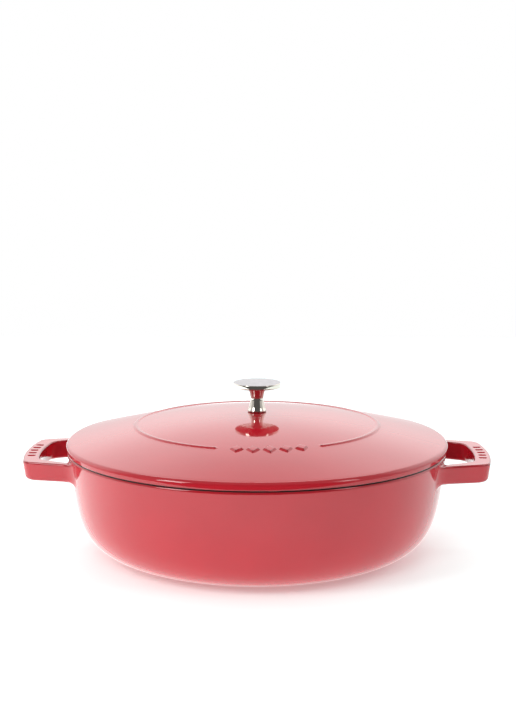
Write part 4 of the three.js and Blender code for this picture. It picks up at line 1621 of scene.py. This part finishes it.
class COVEREDPAN_OT_stage(bpy.types.Operator):
    """Build the pale floor, the soft light and the camera"""

    bl_idname = "covered_pan.build_stage"
    bl_label = "Stage"

    def floor(self, finish, stage):
        """A wide, pale sweep that ends close in front of the pan."""
        reach, front = stage.sweep_reach, -stage.sweep_front
        corners = [(-reach, front), (reach, front), (reach, reach), (-reach, reach)]
        mesh = bpy.data.meshes.new("sweep")
        mesh.from_pydata([(x, y, -FLOOR_GAP) for x, y in corners], [], [[0, 1, 2, 3]])
        material, tree, shader, point = new_material("matt_paper_sweep")
        fibres = clouds(tree, point, 60, (0.0, 0.01), Detail=3.0)
        colours = {0: fibres, 6: (*finish.sweep, 1), 7: (*finish.sweep_fibres, 1)}
        tint = add(tree, "ShaderNodeMix", colours, data_type="RGBA")
        tree.links.new(tint.outputs[2], shader.inputs["Base Color"])
        shader.inputs["Roughness"].default_value = 0.9
        shader.inputs["Specular IOR Level"].default_value = 0.1
        shader.inputs["Emission Color"].default_value = (1, 1, 1, 1)
        across = add(tree, "ShaderNodeSeparateXYZ", {0: point}).outputs["X"]
        right, left = GLOW_ENDS
        ends = {"Value": across, 1: right, 2: left, 3: stage.glow_right, 4: stage.glow_left}
        glow = add(tree, "ShaderNodeMapRange", ends).outputs["Result"]
        seen = add(tree, "ShaderNodeLightPath").outputs["Is Camera Ray"]
        strength = add(tree, "ShaderNodeMix", {0: seen, 2: glow, 3: stage.glow_seen}, data_type="FLOAT")
        tree.links.new(strength.outputs[0], shader.inputs["Emission Strength"])
        mesh.materials.append(material)
        floor = bpy.data.objects.new("sweep", mesh)
        bpy.context.scene.collection.objects.link(floor)

    def surround(self, stage):
        """A white room: a bright back, a dimmer ceiling and sides, and the dark studio in front.

        What the camera sees past the sweep is plain white.
        """
        world = bpy.data.worlds.new("white_room")
        world.use_nodes = True
        tree = world.node_tree
        tree.nodes.clear()
        direction = add(tree, "ShaderNodeTexCoord").outputs["Generated"]
        way = add(tree, "ShaderNodeSeparateXYZ", {0: direction})
        shares = {}
        for name, (axis, empty, full) in ROOM_FADES.items():
            ranges = {"Value": way.outputs[axis], 1: empty, 2: full, 3: 0.0, 4: 1.0}
            fade = add(tree, "ShaderNodeMapRange", ranges, interpolation_type="SMOOTHSTEP")
            shares[name] = fade.outputs["Result"]
        upright = {0: shares["in front"], 1: shares["under the ceiling"]}
        below = {0: shares["this side of the pan"], 1: shares["under the table"]}
        upright, below = (add(tree, "ShaderNodeMath", p, operation="MULTIPLY") for p in (upright, below))
        either = {0: upright.outputs[0], 1: below.outputs[0]}
        dark = add(tree, "ShaderNodeMath", either, operation="MAXIMUM").outputs[0]
        seen = add(tree, "ShaderNodeLightPath").outputs["Is Camera Ray"]
        over = (
            (shares["up the back"], stage.walls),
            (shares["round to the sides"], stage.sides),
            (shares["overhead"], stage.ceiling),
            (dark, stage.studio),
            (seen, 1.0),
        )
        strength = stage.horizon
        for amount, level in over:
            layers = {0: amount, 2: strength, 3: level}
            strength = add(tree, "ShaderNodeMix", layers, data_type="FLOAT").outputs[0]
        backdrop = add(tree, "ShaderNodeBackground", {"Strength": strength, "Color": (1, 1, 1, 1)})
        add(tree, "ShaderNodeOutputWorld", {"Surface": backdrop.outputs["Background"]})
        bpy.context.scene.world = world

    def soft_box(self, name, power, place, size, mirrored):
        """A soft box that faces the pan."""
        lamp = bpy.data.lights.new(name, "AREA")
        lamp.shape = "RECTANGLE"
        lamp.size, lamp.size_y = size
        lamp.energy = power
        holder = bpy.data.objects.new(name, lamp)
        holder.location = place
        facing = Vector(SOFT_BOX_TARGET) - Vector(place)
        holder.rotation_euler = facing.to_track_quat("-Z", "Y").to_euler()
        holder.visible_camera = False
        holder.visible_glossy = mirrored
        bpy.context.scene.collection.objects.link(holder)

    def camera(self, stage):
        """The camera, low in front of the pan."""
        data = bpy.data.cameras.new("camera")
        data.lens = stage.lens
        data.sensor_width = 36
        data.shift_x = stage.shift_x
        data.shift_y = stage.shift_y
        data.clip_start = 0.05
        target = Vector((0, 0, stage.target_height))
        flat = math.cos(stage.elevation)
        level = Vector((math.sin(stage.azimuth), -math.cos(stage.azimuth), 0))
        back = level * flat + Vector((0, 0, math.sin(stage.elevation)))
        camera = bpy.data.objects.new("camera", data)
        camera.location = target + back * stage.distance
        camera.rotation_euler = (-back).to_track_quat("-Z", "Y").to_euler()
        bpy.context.scene.collection.objects.link(camera)
        bpy.context.scene.camera = camera

    def execute(self, context):
        stage = context.scene.covered_pan.stage
        self.floor(context.scene.covered_pan.finish, stage)
        self.surround(stage)
        for name, power, place, size, mirrored in SOFT_BOXES:
            self.soft_box(name, getattr(stage, power), place, size, mirrored)
        self.camera(stage)
        context.scene.view_settings.view_transform = "Standard"
        return {"FINISHED"}


OPERATORS = (
    COVEREDPAN_OT_pan,
    COVEREDPAN_OT_ribs,
    COVEREDPAN_OT_lid,
    COVEREDPAN_OT_lozenges,
    COVEREDPAN_OT_nubs,
    COVEREDPAN_OT_knob,
    COVEREDPAN_OT_fastening,
    COVEREDPAN_OT_stage,
)


class COVEREDPAN_PT_panel(bpy.types.Panel):
    """Lists the pieces of the covered pan"""

    bl_idname = "COVEREDPAN_PT_panel"
    bl_label = "Covered Pan"
    bl_space_type = "VIEW_3D"
    bl_region_type = "UI"
    bl_category = "Covered Pan"

    def draw(self, context):
        for operator in OPERATORS:
            self.layout.operator(operator.bl_idname)


CLASSES = (
    PanSizes,
    HandleSizes,
    LidSizes,
    KnobSizes,
    FasteningSizes,
    Finishes,
    StageSettings,
    CoveredPanSettings,
    *OPERATORS,
    COVEREDPAN_PT_panel,
)


def register():
    for each in CLASSES:
        bpy.utils.register_class(each)
    bpy.types.Scene.covered_pan = bpy.props.PointerProperty(type=CoveredPanSettings)


def unregister():
    del bpy.types.Scene.covered_pan
    for each in reversed(CLASSES):
        bpy.utils.unregister_class(each)


def main():
    """Builds every piece."""
    register()
    bpy.ops.covered_pan.build_pan()
    bpy.ops.covered_pan.build_ribs()
    bpy.ops.covered_pan.build_lid()
    bpy.ops.covered_pan.build_lozenges()
    bpy.ops.covered_pan.build_nubs()
    bpy.ops.covered_pan.build_knob()
    bpy.ops.covered_pan.build_fastening()
    bpy.ops.covered_pan.build_stage()


if __name__ == "__main__":
    main()
